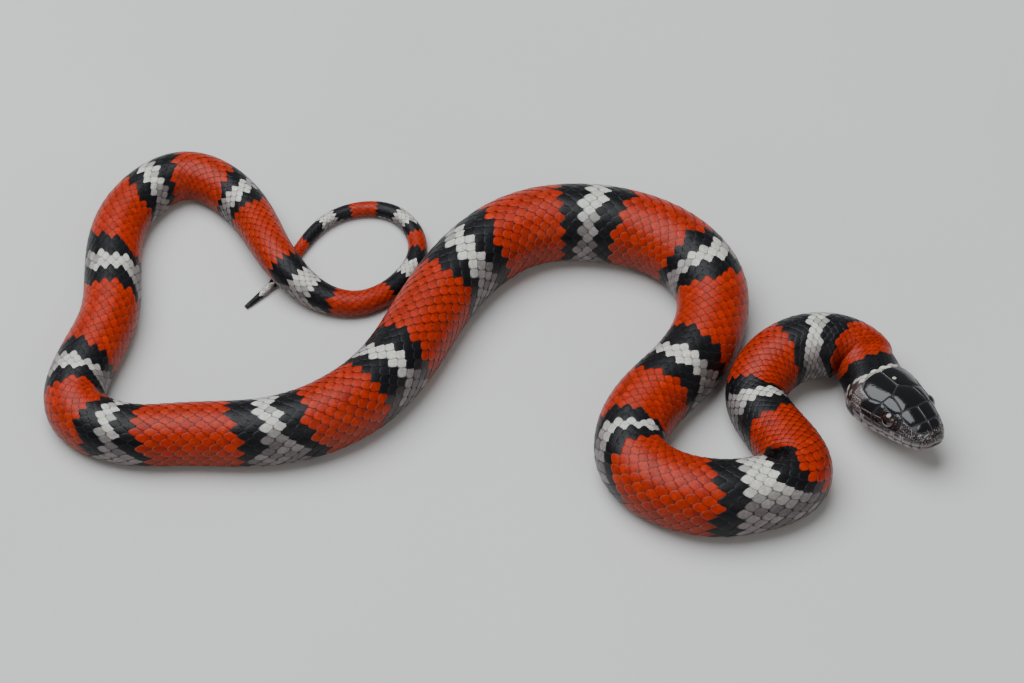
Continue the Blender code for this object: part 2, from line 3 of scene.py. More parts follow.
import bmesh
import bpy
import numpy as np
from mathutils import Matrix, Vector


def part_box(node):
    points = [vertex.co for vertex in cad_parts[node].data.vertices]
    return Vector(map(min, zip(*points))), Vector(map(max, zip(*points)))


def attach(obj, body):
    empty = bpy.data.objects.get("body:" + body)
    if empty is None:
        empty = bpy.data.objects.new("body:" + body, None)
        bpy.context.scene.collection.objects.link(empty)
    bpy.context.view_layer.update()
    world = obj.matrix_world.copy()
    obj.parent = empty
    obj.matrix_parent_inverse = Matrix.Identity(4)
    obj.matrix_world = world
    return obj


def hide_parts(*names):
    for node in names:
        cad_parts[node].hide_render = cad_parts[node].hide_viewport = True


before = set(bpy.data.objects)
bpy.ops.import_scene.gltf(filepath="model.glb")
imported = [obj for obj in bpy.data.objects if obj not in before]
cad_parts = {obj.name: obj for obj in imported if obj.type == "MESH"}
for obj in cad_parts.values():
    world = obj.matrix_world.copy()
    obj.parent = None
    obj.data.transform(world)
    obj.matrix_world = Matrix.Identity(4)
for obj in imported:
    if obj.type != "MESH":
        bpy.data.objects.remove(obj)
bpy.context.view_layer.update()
MM = 0.001

# Skin
# One soft skin runs from the snout to the tip of the tail. The scales grow out of it and overlap, so it
# shows only as thin lines between them. It carries the same red, black and cream rings as they do.

# Belly line from the snout to the tip of the tail, in millimetres: X, Y and height off the ground
ROUTE = (
    (85.9, -35.1, 5.6), (82.3, -30.2, 4.5), (78.2, -24.6, 3.3),
    (75.1, -20.0, 2.4), (73.9, -14.8, 1.6), (71.6, -9.7, 1.6), (66.3, -7.3, 1.9), (60.8, -7.7, 1.9),
    (56.0, -9.8, 1.6),
    (50.4, -18.0, 0.2), (53.8, -28.0, 0.0), (57.4, -40.5, 0.0), (47.5, -45.8, 0.0),
    (34.5, -45.0, 0.0), (25.0, -37.0, 0.0), (26.5, -24.0, 0.0), (35.6, -12.0, 0.0),
    (41.4, 0.0, 0.0), (41.4, 11.0, 0.0), (33.3, 22.0, 0.0), (18.0, 27.5, 0.0),
    (3.0, 26.0, 0.0), (-9.0, 16.5, 0.0),
    (-17.0, 3.5, 0.0), (-24.5, -11.5, 0.0), (-34.8, -22.7, 0.0), (-50.0, -28.6, 0.0),
    (-67.0, -29.0, 0.0), (-80.5, -28.5, 0.0),
    (-89.5, -22.3, 0.0), (-88.8, -11.0, 0.0), (-84.5, 3.0, 0.0), (-84.5, 18.0, 0.0),
    (-81.8, 33.3, 0.0), (-70.0, 43.2, 0.0), (-59.3, 37.0, 0.0),
    (-54.0, 28.0, 1.3), (-49.0, 17.5, 2.7), (-42.0, 10.7, 0.8),
    (-32.0, 8.8, 0.0), (-23.4, 15.4, 0.0), (-20.2, 26.0, 0.0), (-26.0, 35.0, 0.0),
    (-37.5, 34.2, 0.0), (-45.5, 24.5, 0.0), (-50.2, 16.0, 0.0), (-56.5, 8.8, 0.0),
)
# The head lies straight, from the snout towards this place
HEAD_AIM = (72.4, -16.6, 1.5)
# Half width of the body at a distance from the snout
GIRTH = (
    (23.5, 6.2), (28.0, 6.7), (40.6, 7.2), (56.6, 6.4), (67.6, 6.5), (82.6, 7.7),
    (102.6, 8.2), (122.6, 7.6), (142.6, 7.5), (162.6, 7.6), (182.6, 8.1), (202.6, 8.5),
    (222.6, 8.3), (242.6, 7.8), (262.6, 7.7), (280.6, 7.8), (302.6, 7.0), (322.6, 6.5),
    (352.6, 6.4), (377.6, 6.1), (402.6, 5.6), (422.6, 5.2), (437.6, 4.5), (450.6, 3.8),
    (462.6, 3.0), (477.6, 2.4), (487.6, 2.1), (502.6, 1.85), (517.6, 1.6), (530.6, 1.2),
    (539.6, 0.9), (544.6, 0.45),
)
# Head, back from the snout: half width, underside and crown above the chin
HEAD_STATIONS = (
    (0.0, 1.7, 2.8, 4.9), (0.5, 2.7, 2.0, 5.6), (1.9, 3.85, 1.2, 6.6), (4.2, 4.9, 0.6, 7.8),
    (6.3, 5.5, 0.3, 8.7), (8.3, 6.1, 0.1, 9.4), (11.6, 7.0, 0.0, 9.9), (14.8, 7.7, 0.0, 10.1),
    (18.0, 7.8, 0.0, 10.2), (21.0, 7.35, 0.05, 10.4), (23.5, 6.8, 0.1, 10.6),
)
HEAD_LENGTH = 23.5
HEAD_ROLL = math.radians(8.0)
HEAD_WIDEST = 0.42
# Stretches over which the neck leaves the head's line, turns out of it, loses the head's roll and takes
# on the body's section
NECK_LEAVE = (17.0, 22.0)
NECK_TURN = 8.0
NECK_ROLL = 14.0
NECK_JOIN = 12.0
BODY_HEIGHT = 1.72
WIDEST_HEIGHT = 0.79
FLAT_BELLY = 0.06
BEND_SHARE = 0.80
BEND_REACH = 2.5
TAIL_END = 544.4
SPINE_STEP = 0.25
SKIN_COLUMNS = 80
# Steps of the spine over which the girth, the bends and the room that they take are evened out
GIRTH_WINDOW, BEND_WINDOW, ROOM_WINDOW = 61, 9, 21


def smooth_curve(knots, values):
    """A natural cubic curve: a function that gives the values at any place between the knots."""
    t = np.asarray(knots, float)
    p = np.asarray(values, float).reshape(len(t), -1)
    h = np.diff(t)
    n = len(t)
    matrix = np.eye(n)
    right = np.zeros_like(p)
    for i in range(1, n - 1):
        matrix[i, i - 1:i + 2] = h[i - 1], 2.0 * (h[i - 1] + h[i]), h[i]
        right[i] = 6.0 * ((p[i + 1] - p[i]) / h[i] - (p[i] - p[i - 1]) / h[i - 1])
    bend = np.linalg.solve(matrix, right)

    def at(where):
        u = np.atleast_1d(np.asarray(where, float))
        k = np.clip(np.searchsorted(t, u, side="right") - 1, 0, n - 2)
        a = ((t[k + 1] - u) / h[k])[:, None]
        b = ((u - t[k]) / h[k])[:, None]
        step = (h[k] ** 2)[:, None]
        return a * p[k] + b * p[k + 1] + ((a ** 3 - a) * bend[k] + (b ** 3 - b) * bend[k + 1]) * step / 6.0

    return at


def table_at(table, where):
    """Reads a table of pairs at places between its stops."""
    return np.interp(where, *zip(*table))


def lengths_along(points):
    return np.concatenate(([0.0], np.cumsum(np.linalg.norm(np.diff(points, axis=0), axis=1))))


def softened(values, width):
    window = np.hanning(width)
    return np.convolve(np.pad(values, width // 2, mode="edge"), window / window.sum(), "valid")


def unit(vectors):
    return vectors / np.maximum(np.linalg.norm(vectors, axis=-1, keepdims=True), 1e-12)


route = np.array(ROUTE)
knots = lengths_along(route[:, :2])
dense = smooth_curve(knots, route)(np.linspace(0.0, knots[-1], 6000))
run = lengths_along(dense)
spine_s = np.arange(0.0, run[-1], SPINE_STEP)
spine_place = np.stack([np.interp(spine_s, run, dense[:, i]) for i in range(3)], axis=1)
spine_place[:, 2] = np.maximum(spine_place[:, 2], 0.0)
spine_along = unit(np.gradient(spine_place, spine_s, axis=0))
spine_half = softened(table_at(GIRTH, spine_s), GIRTH_WINDOW)
forward = unit(route[0] - np.array(HEAD_AIM))
head_shape = smooth_curve(
    [math.sqrt(station[0]) for station in HEAD_STATIONS],
    [station[1:] for station in HEAD_STATIONS],
)


def read(s, table):
    return np.stack([np.interp(s, spine_s, table[:, i]) for i in range(table.shape[1])], axis=-1)


def half_width(s):
    return np.interp(s, spine_s, spine_half)


def ease(value, start, end):
    share = np.clip((value - start) / (end - start), 0.0, 1.0)
    return share * share * (3.0 - 2.0 * share)


def ring_frames(s):
    """Places of the cross-sections at distances from the snout, with the snake's left and up there."""
    line = route[0] - forward * s[:, None]
    off = read(s, spine_place) - line
    slip = off @ -forward
    aside = (off + slip[:, None] * forward) * ease(s, *NECK_LEAVE)[:, None]
    turned = ease(s, HEAD_LENGTH, HEAD_LENGTH + NECK_TURN)
    place = line + aside - (turned * slip)[:, None] * forward
    along = unit(turned[:, None] * read(s, spine_along) - (1.0 - turned)[:, None] * forward)
    left = unit(np.cross(along, (0.0, 0.0, 1.0)))
    up = np.cross(left, along)
    roll = ((1.0 - ease(s, HEAD_LENGTH, HEAD_LENGTH + NECK_ROLL)) * HEAD_ROLL)[:, None]
    return place, left * np.cos(roll) - up * np.sin(roll), up * np.cos(roll) + left * np.sin(roll)


ring_place, ring_left, _ = ring_frames(spine_s)
heading = np.unwrap(np.arctan2(ring_left[:, 1], ring_left[:, 0]))
pace = np.linalg.norm(np.gradient(ring_place, spine_s, axis=0), axis=1)
sharp_bend = softened(np.gradient(heading, spine_s) / np.maximum(pace, 0.5), BEND_WINDOW)
# The bend that the inner side makes room for is the sharpest within reach, so that no fold forms
near = int(BEND_REACH / SPINE_STEP)
nearby = np.array([np.roll(sharp_bend, k) for k in range(-near, near + 1)])
ring_bend = softened(np.where(sharp_bend > 0.0, nearby.max(axis=0), nearby.min(axis=0)), ROOM_WINDOW)


def head_section(back, angle):
    """Offsets to the left and above the chin of the head's outline, at angles up from its left side."""
    half, under, crown = head_shape(np.sqrt(np.maximum(back, 0.0))).T[:, :, None]
    widest = under + (crown - under) * HEAD_WIDEST
    c = np.cos(angle)[None, :]
    s = np.sin(angle)[None, :]
    rise = np.abs(s) ** 0.9
    height = np.where(s >= 0.0, widest + rise * (crown - widest), widest - rise * (widest - under))
    return np.sign(c) * np.abs(c) ** 0.78 * half, height


def body_section(angle):
    """The same for the body, as shares of its half width: a loaf that is flat along the belly."""
    c = np.cos(angle)[None, :]
    s = np.sin(angle)[None, :]
    low = np.abs(s) ** 0.8
    under = np.maximum(WIDEST_HEIGHT - low * (WIDEST_HEIGHT + FLAT_BELLY), 0.0)
    aside = np.where(s >= 0.0, c, np.sign(c) * np.abs(c) ** 0.8)
    return aside, np.where(s >= 0.0, WIDEST_HEIGHT + s * (BODY_HEIGHT - WIDEST_HEIGHT), under)


# Angles round a section from the middle of the belly, with the places of its left side and its top
ARC = np.linspace(-math.pi / 2.0, 1.5 * math.pi, 721)
ARC_SIDE, ARC_TOP = 180, 360


def sections(s):
    """Outlines at distances from the snout: aside in the bend, aside with none, up, and arc lengths."""
    half = half_width(s)[:, None]
    bend = np.interp(s, spine_s, ring_bend)[:, None]
    room = np.minimum(1.0, BEND_SHARE / np.maximum(np.abs(bend) * half, 1e-6))
    neck = ease(s, HEAD_LENGTH, HEAD_LENGTH + NECK_JOIN)[:, None]
    joint_aside, joint_rise = head_section(np.minimum(s, HEAD_LENGTH), ARC)
    aside, rise = body_section(ARC)
    plain = neck * aside * half + (1.0 - neck) * joint_aside
    bent = np.where(plain * bend < 0.0, plain * room, plain)
    up = neck * rise * half + (1.0 - neck) * joint_rise
    steps = np.hypot(np.diff(plain, axis=1), np.diff(up, axis=1))
    arc = np.concatenate((np.zeros((len(s), 1)), np.cumsum(steps, axis=1)), axis=1)
    return bent, plain, up, arc


HEAD_COAT = 0.06
COAT_GROWS = (17.0, 25.0)


def coat_depth(s):
    """How thick the coat of scales is: thin on the head, thickest at the middle of the body."""
    body = HEAD_COAT + 0.03 * half_width(s)
    return HEAD_COAT + ease(s, *COAT_GROWS) * (body - HEAD_COAT)


FINE_END = 26.0


def skin_stops():
    """Distances from the snout of the skin's rings, close together on the head and the tail."""
    stops = list(np.linspace(0.0, 1.6, 9) ** 2)
    while stops[-1] < TAIL_END:
        fine = 0.3 if stops[-1] < FINE_END else 0.32 + 0.045 * half_width(stops[-1])
        stops.append(stops[-1] + fine)
    return np.array(stops) * (TAIL_END / stops[-1])


# Rings of colour, from the snout: where the front black, the cream and the rear black begin and the rear
# black ends. An edge is one distance, or seven, at these places round the body, right to left. Then how
# far the ring leans back for each millimetre to the left, the share of the girth where its cream spreads,
# and how far its front and rear black fade low on the flank.
RING_ACROSS = (-12.0, -8.0, -4.0, 0.0, 4.0, 8.0, 12.0)
RINGS = (
    (((34.2, 35.6, 35.4, 33.7, 32.6, 31.6, 31.0), (36.4, 39.1, 39.1, 37.6, 36.3, 36.2, 36.0),
      (45.5, 44.1, 42.4, 40.9, 39.9, 39.4, 39.4), (49.0, 46.6, 45.4, 45.0, 44.6, 44.4, 44.4)),
     0.0, 0.6, 0.0, 0.3),
    (((60.0, 60.0, 58.2, 56.8, 56.3, 56.3, 57.0), (61.0, 61.0, 61.0, 60.2, 59.2, 58.8, 58.8),
      (64.5, 63.8, 63.4, 63.0, 62.8, 63.4, 67.5), (67.0, 66.8, 66.8, 66.5, 66.2, 67.4, 70.0)),
     0.0, 0.6, 0.0, 0.3),
    (((81.5, 82.3, 83.3, 81.0, 76.8, 74.0, 73.0), (82.4, 83.9, 87.4, 88.0, 86.5, 84.0, 83.0),
      (95.0, 95.2, 93.4, 94.1, 94.1, 94.1, 94.5), (99.6, 98.3, 98.5, 100.3, 101.5, 101.0, 100.5)),
     0.0, 0.7, 0.8, 0.0),
    (((114.0, 117.0, 118.8, 119.7, 119.6, 121.0, 121.4), (116.4, 119.7, 122.4, 122.7, 123.0, 123.2, 123.0),
      (119.5, 123.7, 124.7, 125.0, 125.0, 124.6, 124.6), (124.0, 127.1, 127.6, 127.3, 127.0, 125.8, 125.8)),
     0.0, 0.62, 0.6, 0.2),
    (((137.5, 138.0, 138.1, 138.6, 140.1, 139.9, 138.7), (143.0, 143.3, 143.3, 143.2, 144.4, 144.1, 141.0),
      (146.0, 146.0, 146.5, 147.4, 147.6, 147.6, 149.8), (152.6, 152.6, 152.6, 152.8, 152.4, 151.0, 151.5)),
     0.0, 0.55, 0.2, 0.0),
    (((169.0, 168.0, 167.8, 167.2, 169.3, 170.7, 171.0), (169.5, 172.1, 172.2, 171.2, 173.0, 173.5, 173.5),
      (177.2, 175.9, 175.1, 175.5, 176.2, 176.5, 176.5), (180.6, 179.6, 179.7, 180.3, 179.7, 179.3, 179.0)),
     0.0, 0.6, 0.0, 0.0),
    (((197.4, 197.9, 196.2, 195.5, 195.4, 195.4, 195.4), (201.5, 201.2, 201.3, 200.5, 200.7, 201.0, 200.0),
      (206.6, 205.7, 204.8, 205.1, 204.6, 204.6, 206.0), (209.8, 209.9, 210.1, 210.5, 210.2, 210.0, 210.0)),
     0.0, 0.56, 0.0, 0.0),
    (((228.5, 230.0, 228.4, 226.3, 225.2, 224.8, 224.5), (233.5, 233.8, 233.6, 231.8, 230.6, 229.7, 229.0),
      (243.6, 239.4, 238.0, 236.8, 235.2, 233.8, 233.5), (244.5, 242.9, 242.0, 241.4, 240.8, 240.5, 240.5)),
     0.0, 0.6, 0.3, 0.6),
    (((264.0, 262.6, 261.3, 260.0, 260.6, 261.0, 261.0), (265.0, 265.9, 266.2, 265.5, 266.8, 267.0, 266.0),
      (272.3, 269.9, 269.8, 269.9, 271.0, 271.6, 272.0), (275.6, 273.9, 273.9, 274.6, 275.0, 275.2, 275.5)),
     0.0, 0.6, 0.8, 0.8),
    (((286.8, 289.1, 289.9, 289.3, 289.2, 289.2, 289.0), (289.8, 293.2, 293.9, 294.9, 294.4, 294.3, 292.0),
      (300.5, 298.5, 297.1, 298.9, 299.6, 300.3, 301.0), (301.9, 302.1, 303.1, 304.8, 305.6, 306.0, 306.0)),
     0.0, 0.6, 0.0, 0.0),
    (((320.9, 322.2, 323.6, 323.6, 322.2, 320.5, 320.0), (321.8, 324.4, 327.3, 327.7, 326.9, 326.3, 325.0),
      (330.0, 328.4, 330.0, 331.1, 329.9, 329.5, 329.5), (331.2, 332.0, 333.8, 333.4, 332.5, 332.0, 332.0)),
     0.0, 0.6, 0.0, 0.0),
    (((342.0, 342.0, 341.8, 342.2, 342.8, 339.4, 338.0), (344.5, 344.5, 344.8, 345.6, 345.5, 343.0, 340.0),
      (350.0, 350.0, 349.3, 348.5, 348.2, 348.6, 349.2), (352.6, 352.6, 352.8, 352.6, 352.2, 350.8, 351.8)),
     0.0, 0.6, 0.4, 0.4),
    (((374.0, 372.5, 370.0, 369.6, 369.3, 367.7, 366.5), (378.0, 376.7, 373.9, 373.6, 372.5, 369.3, 367.0),
      (381.5, 380.7, 379.5, 378.2, 376.5, 375.6, 372.0), (387.0, 385.8, 384.2, 382.5, 379.8, 378.3, 378.3)),
     0.0, 0.6, 0.0, 0.0),
    (((402.0, 400.6, 399.2, 397.8, 396.0, 395.0, 394.5), (405.0, 403.8, 402.6, 401.4, 399.9, 397.0, 394.0),
      (408.5, 407.2, 406.2, 405.2, 403.5, 403.0, 403.5), (412.5, 411.2, 410.0, 409.0, 406.9, 405.2, 404.5)),
     0.0, 0.6, 0.0, 0.0),
    (((418.5, 419.5, 420.7, 422.0, 423.8, 424.7, 425.0), (421.0, 422.3, 423.8, 425.6, 426.0, 425.6, 425.6),
      (424.5, 425.6, 427.6, 429.4, 430.3, 431.5, 431.5), (430.0, 430.3, 431.3, 432.2, 431.9, 432.2, 432.2)),
     0.0, 0.6, 0.0, 0.0),
    ((448.0, 451.7, 456.8, 461.0), 0.05, 0.4, 0.0, 0.0),
    ((474.1, 479.1, 483.1, 487.1), 0.0, 0.45, 0.0, 0.0),
    ((491.6, 494.6, 499.1, 503.6), 0.0, 0.45, 0.0, 0.0),
    ((509.6, 513.6, 517.6, 523.1), 0.0, 0.45, 0.0, 0.0),
    ((527.6, 536.6, 540.1, 548.6), 0.0, 0.45, 0.0, 0.0),
)
RED = np.array((0.40, 0.0195, 0.0008))
# Dark brownish red that the red turns towards low on the flank: painted shade, for the side turned away
# from the light overhead
SHADED_FLANK_RED = np.array((0.085, 0.020, 0.004))
BLACK = np.array((0.005, 0.005, 0.006))
FADED_BLACK = np.array((0.060, 0.050, 0.047))
CREAM = np.array((0.64, 0.63, 0.57))
# Grey that the cream turns towards on the flank: painted shade, for the side turned away from the light
# overhead
SHADED_FLANK_CREAM = np.array((0.215, 0.192, 0.190))
BELLY = np.array((0.40, 0.29, 0.25))
# Rear edge of the cream collar and of the black nape, by distance round to the left of the middle
COLLAR_END = (
    (-14.0, 22.4), (-11.0, 22.0), (-8.6, 21.2), (-5.2, 19.7), (-2.0, 19.15), (2.0, 19.1), (5.0, 19.1),
    (8.0, 20.2), (12.0, 21.6),
)
NAPE_END = (
    (-14.0, 26.2), (-11.7, 25.9), (-7.5, 24.4), (-5.4, 24.2), (-2.6, 23.3), (0.0, 22.8), (4.0, 22.5),
    (6.0, 22.5), (10.0, 23.5), (14.0, 24.5),
)


def toned(first, second, share):
    """Colours between two, at shares of the way from the first to the second."""
    share = np.asarray(share, float)[..., None]
    return first * (1.0 - share) + second * share


def ring_colours(s, w, girth):
    """Colour of the coat at flat places: s back from the snout, w round to the left, half the girth."""
    share = np.abs(w) / girth
    black, cream, faded = (np.zeros(s.shape) for _ in range(3))
    across = np.clip(w, RING_ACROSS[0], RING_ACROSS[-1])
    for edges, lean, spread, front_fade, rear_fade in RINGS:
        front, pale, rear, end = (
            np.interp(across, RING_ACROSS, np.broadcast_to(edge, len(RING_ACROSS))) + lean * across
            for edge in edges
        )
        wide = 0.85 * ease(share, spread, spread + 0.14)
        inside = (s > front) & (s < end)
        black = np.where(inside, 1.0, black)
        faded = np.where(inside, np.where(s < (pale + rear) / 2.0, front_fade, rear_fade), faded)
        cream = np.where((s > pale - (pale - front) * wide) & (s < rear + (end - rear) * wide), 1.0, cream)
    collar = s < table_at(COLLAR_END, w)
    nape = s < table_at(NAPE_END, w)
    black = np.where(nape, 1.0, black)
    cream = np.where(collar, 1.0, cream)
    under = ease(share, 0.67, 0.78)
    # Down the flank the red and the cream darken towards these, as painted shade; lower still they take the
    # belly's colour
    red = toned(toned(RED, RED * 0.55 + SHADED_FLANK_RED * 0.45, ease(share, 0.26, 0.54)), BELLY, under)
    pale = toned(toned(CREAM, SHADED_FLANK_CREAM, ease(share, 0.10, 0.36)), BELLY, under)
    dark = toned(BLACK, FADED_BLACK, ease(share, 0.26, 0.44) * faded)
    dark = dark * (1.0 - 0.8 * under[..., None]) + BELLY * 0.25 * under[..., None]
    coat = np.where(black[..., None] > 0.5, dark, red)
    coat = np.where(cream[..., None] > 0.5, pale, coat)
    kind = np.where(cream > 0.5, 2, np.where(black > 0.5, 1, 0))
    return coat, kind


# Attributes by how many numbers each value has: kind, domain and field
ATTRIBUTE_KINDS = {
    1: ("FLOAT", "POINT", "value"), 2: ("FLOAT2", "CORNER", "vector"),
    3: ("FLOAT_VECTOR", "POINT", "vector"), 4: ("FLOAT_COLOR", "POINT", "color"),
}


def add_attribute(mesh, name, values):
    values = np.ascontiguousarray(values, np.float32)
    kind, domain, field = ATTRIBUTE_KINDS[values.size // len(values)]
    mesh.attributes.new(name, kind, domain).data.foreach_set(field, values.ravel())


def with_alpha(colours):
    return np.concatenate((colours, np.ones(colours.shape[:-1] + (1,))), axis=-1)


def new_piece(name, mesh):
    piece = bpy.data.objects.new(name, mesh)
    bpy.context.scene.collection.objects.link(piece)
    return piece


# Middle of the left eye, in head measures: ahead of the snout, to the left, above the chin
EYE_MIDDLE = (-8.725, 4.746, 6.008)
_, snout_left, snout_up = ring_frames(np.array([0.0]))
HEAD_AXES = np.stack((forward, snout_left[0], snout_up[0]))


def route_place():
    """Where the start of the route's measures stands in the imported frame, read from the left eye."""
    low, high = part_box("eye_left")
    return (np.array(low) + np.array(high)) / (2.0 * MM) - (route[0] + np.array(EYE_MIDDLE) @ HEAD_AXES)


def skin_grid():
    """The skin's points ring by ring, with their flat places (s and w) and half girths."""
    s = skin_stops()
    place, left, up = ring_frames(s)
    bent, _, rise, arc = sections(s)
    girth = arc[:, -1] / 2.0
    shares = np.linspace(0.0, 1.0, SKIN_COLUMNS + 1)
    aside = np.stack([np.interp(shares, a / a[-1], v) for a, v in zip(arc, bent)])
    height = np.stack([np.interp(shares, a / a[-1], v) for a, v in zip(arc, rise)])
    outer = place[:, None, :] + left[:, None, :] * aside[..., None] + up[:, None, :] * height[..., None]
    lengthways = np.gradient(outer, axis=0)
    round_it = np.gradient(outer, axis=1)
    round_it[:, 0] = round_it[:, -1] = outer[:, 1] - outer[:, -2]
    normal = unit(np.cross(lengthways, round_it))
    inset = outer - normal * coat_depth(s)[:, None, None]
    w = girth[:, None] * (1.0 - 2.0 * shares[None, :])
    return s, inset + ROUTE_PLACE, w, girth


ROUTE_PLACE = route_place()
SNOUT_PLACE = route[0] + ROUTE_PLACE
skin_s, skin_points, skin_w, skin_girth = skin_grid()


def girth_at(s):
    return np.interp(s, skin_s, skin_girth)


# Rings of points that round off the blunt end: share of the first ring, and how far ahead of it
NOSE_RINGS = ((0.72, 0.08), (0.4, 0.12))
NOSE_TIP = 0.13
PLATES_END = 18.0
# Between the scales: red, red low on the flank, what the cream is darkened by, and between the plates
BETWEEN_RED, BETWEEN_FLANK = np.array((0.09, 0.014, 0.006)), np.array((0.19, 0.085, 0.095))
BETWEEN_CREAM, BETWEEN_PLATES = np.array((0.32, 0.27, 0.24)), np.array((0.060, 0.060, 0.068))
# The skin's bake map is cut into bands, one above the other
BAKE_BANDS, BAKE_WIDE = 6.0, 56.0


def mesh_of(name, points, faces):
    mesh = bpy.data.meshes.new(name)
    mesh.from_pydata(points.tolist(), [], [tuple(int(v) for v in f) for f in faces])
    return mesh


def corners_of(grid):
    """The four corners of each cell of a grid, in the order in which a face takes them."""
    return np.stack((grid[:-1, :-1], grid[1:, :-1], grid[1:, 1:], grid[:-1, 1:]), axis=-1).reshape(-1, 4)


def make_skin():
    """The skin's mesh, with flat maps of its back and of its belly, its colours and its bake map."""
    rows, columns = skin_points.shape[0], SKIN_COLUMNS
    first_ring = skin_points[0, :columns]
    snout, tip = first_ring.mean(axis=0), skin_points[-1, :columns].mean(axis=0)
    nose = [snout + (first_ring - snout) * share + forward * ahead for share, ahead in NOSE_RINGS]
    extra = np.concatenate(nose + [(snout + forward * NOSE_TIP)[None], tip[None]]) * MM
    index = np.arange(rows * columns).reshape(rows, columns)
    faces = corners_of(np.concatenate((index, index[:, :1]), axis=1)).tolist()
    rings = [index[0]] + [index.size + columns * n + np.arange(columns) for n in range(len(NOSE_RINGS))]
    around = [(a, (a + 1) % columns) for a in range(columns)]
    for outer, inner in zip(rings, rings[1:]):
        faces += [(outer[b], inner[b], inner[a], outer[a]) for a, b in around]
    snout_point = index.size + columns * len(NOSE_RINGS)
    for a, b in around:
        faces += [(inner[b], snout_point, inner[a]), (index[-1, a], snout_point + 1, index[-1, b])]
    mesh = mesh_of("skin", np.concatenate((skin_points[:, :columns].reshape(-1, 3) * MM, extra)), faces)

    all_s, all_girth = (np.broadcast_to(values[:, None], skin_w.shape) for values in (skin_s, skin_girth))
    corner_s, corner_w, corner_girth = (corners_of(values).ravel() for values in (all_s, skin_w, all_girth))
    laid = len(corner_s)
    flat = np.full((len(mesh.loops), 2), -1.0)
    flat[:laid] = np.stack((corner_s, -corner_w), axis=1) * MM
    add_attribute(mesh, "back", flat)
    on_left = np.tile(np.repeat(np.arange(columns) < columns // 2, 4), rows - 1)
    flat[:laid, 1] = np.where(on_left, corner_girth * MM, -corner_girth * MM) - corner_w * MM
    add_attribute(mesh, "belly", flat)

    s, w, girth = (values[:, :columns] for values in (all_s, skin_w, all_girth))
    coat, kind = ring_colours(s, w, girth)
    between = toned(BETWEEN_RED, BETWEEN_FLANK, ease(np.abs(w) / girth, 0.16, 0.42))
    kind = kind[..., None]
    coat = np.where(kind == 0, between, np.where(kind == 2, coat * BETWEEN_CREAM, coat * 1.3))
    coat = np.where(s[..., None] < PLATES_END, BETWEEN_PLATES, coat).reshape(-1, 3)
    coat = np.concatenate((coat, np.broadcast_to(BLACK, (len(extra), 3))))
    add_attribute(mesh, "tint", with_alpha(coat))

    per_band = (skin_s[-1] + 1.0) / BAKE_BANDS
    band = np.floor(corner_s.reshape(-1, 4).mean(axis=1) / per_band).repeat(4)
    unwrap = np.full((len(mesh.loops), 2), 0.999)
    unwrap[:laid, 0] = (corner_s - band * per_band) / (per_band + 1.5) + 0.002
    unwrap[:laid, 1] = (band + 0.5 - corner_w / BAKE_WIDE) / BAKE_BANDS
    add_attribute(mesh, "OFBake", unwrap)
    mesh.shade_smooth()
    return new_piece("skin", mesh)


def give(tree, made, sockets):
    """Sets a node's inputs, each to a plain value or from another node's output."""
    for key, value in sockets.items():
        if isinstance(value, bpy.types.NodeSocket):
            tree.links.new(value, made.inputs[key])
        else:
            made.inputs[key].default_value = value


def node(tree, kind, sockets=None, **settings):
    made = tree.nodes.new(kind)
    for name, value in settings.items():
        setattr(made, name, value)
    give(tree, made, sockets or {})
    return made


def attribute(tree, name, socket="Color"):
    return node(tree, "ShaderNodeAttribute", attribute_name=name).outputs[socket]


def blended(tree, share, first, second, how="MIX"):
    """Mix of two colours, each a socket or a plain colour, by a share that may be either too."""
    mix = node(tree, "ShaderNodeMix", {0: share, 6: first, 7: second}, data_type="RGBA", blend_type=how)
    return mix.outputs[2]


def noisy(tree, scale, detail):
    place = node(tree, "ShaderNodeTexCoord").outputs["Object"]
    noise = node(tree, "ShaderNodeTexNoise", {"Scale": scale, "Detail": detail, "Vector": place})
    return noise.outputs["Fac"]


def cloudy(tree, scale, detail=3.0, low=0.35, high=0.65):
    """A soft noise from 0 to 1 over the surface, with a grain of so many to the metre."""
    noise = noisy(tree, scale, detail)
    return node(tree, "ShaderNodeMapRange", {"Value": noise, "From Min": low, "From Max": high}).outputs[0]


def times(tree, first, second):
    return node(tree, "ShaderNodeMath", {0: first, 1: second}, operation="MULTIPLY").outputs[0]


def new_finish(name):
    finish = bpy.data.materials.new(name)
    finish.use_nodes = True
    tree = finish.node_tree
    return finish, tree, tree.nodes["Principled BSDF"]


def add_bump(tree, shader, height, depth):
    bump = node(tree, "ShaderNodeBump", {"Distance": depth, "Strength": 0.6, "Height": height})
    give(tree, shader, {"Normal": bump.outputs["Normal"]})


def skin_finish():
    finish, tree, shader = new_finish("soft skin")
    shaded = blended(tree, cloudy(tree, 900.0), attribute(tree, "tint"), (0.5, 0.45, 0.42, 1.0), "MULTIPLY")
    give(tree, shader, {"Base Color": shaded, "Roughness": 0.6})
    add_bump(tree, shader, cloudy(tree, 4000.0), 0.00005)
    return finish


skin = make_skin()
skin.data.materials.append(skin_finish())
FLESH = ["head", "lower_jaw", "neck"] + [f"body_{n:02d}" for n in range(1, 17)]
FLESH += [f"tail_{n}" for n in range(1, 4)]
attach(skin, "root")
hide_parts(*FLESH)

# Scales of the back
# Smooth, glossy scales in about twenty staggered rows, each a rounded hexagon of horn. Its front end is
# rooted in the skin under the two scales ahead, and its rear edge lies free over the next ones.


def named_vector(tree, name):
    kind = "GeometryNodeInputNamedAttribute"
    return node(tree, kind, {"Name": name}, data_type="FLOAT_VECTOR").outputs[0]


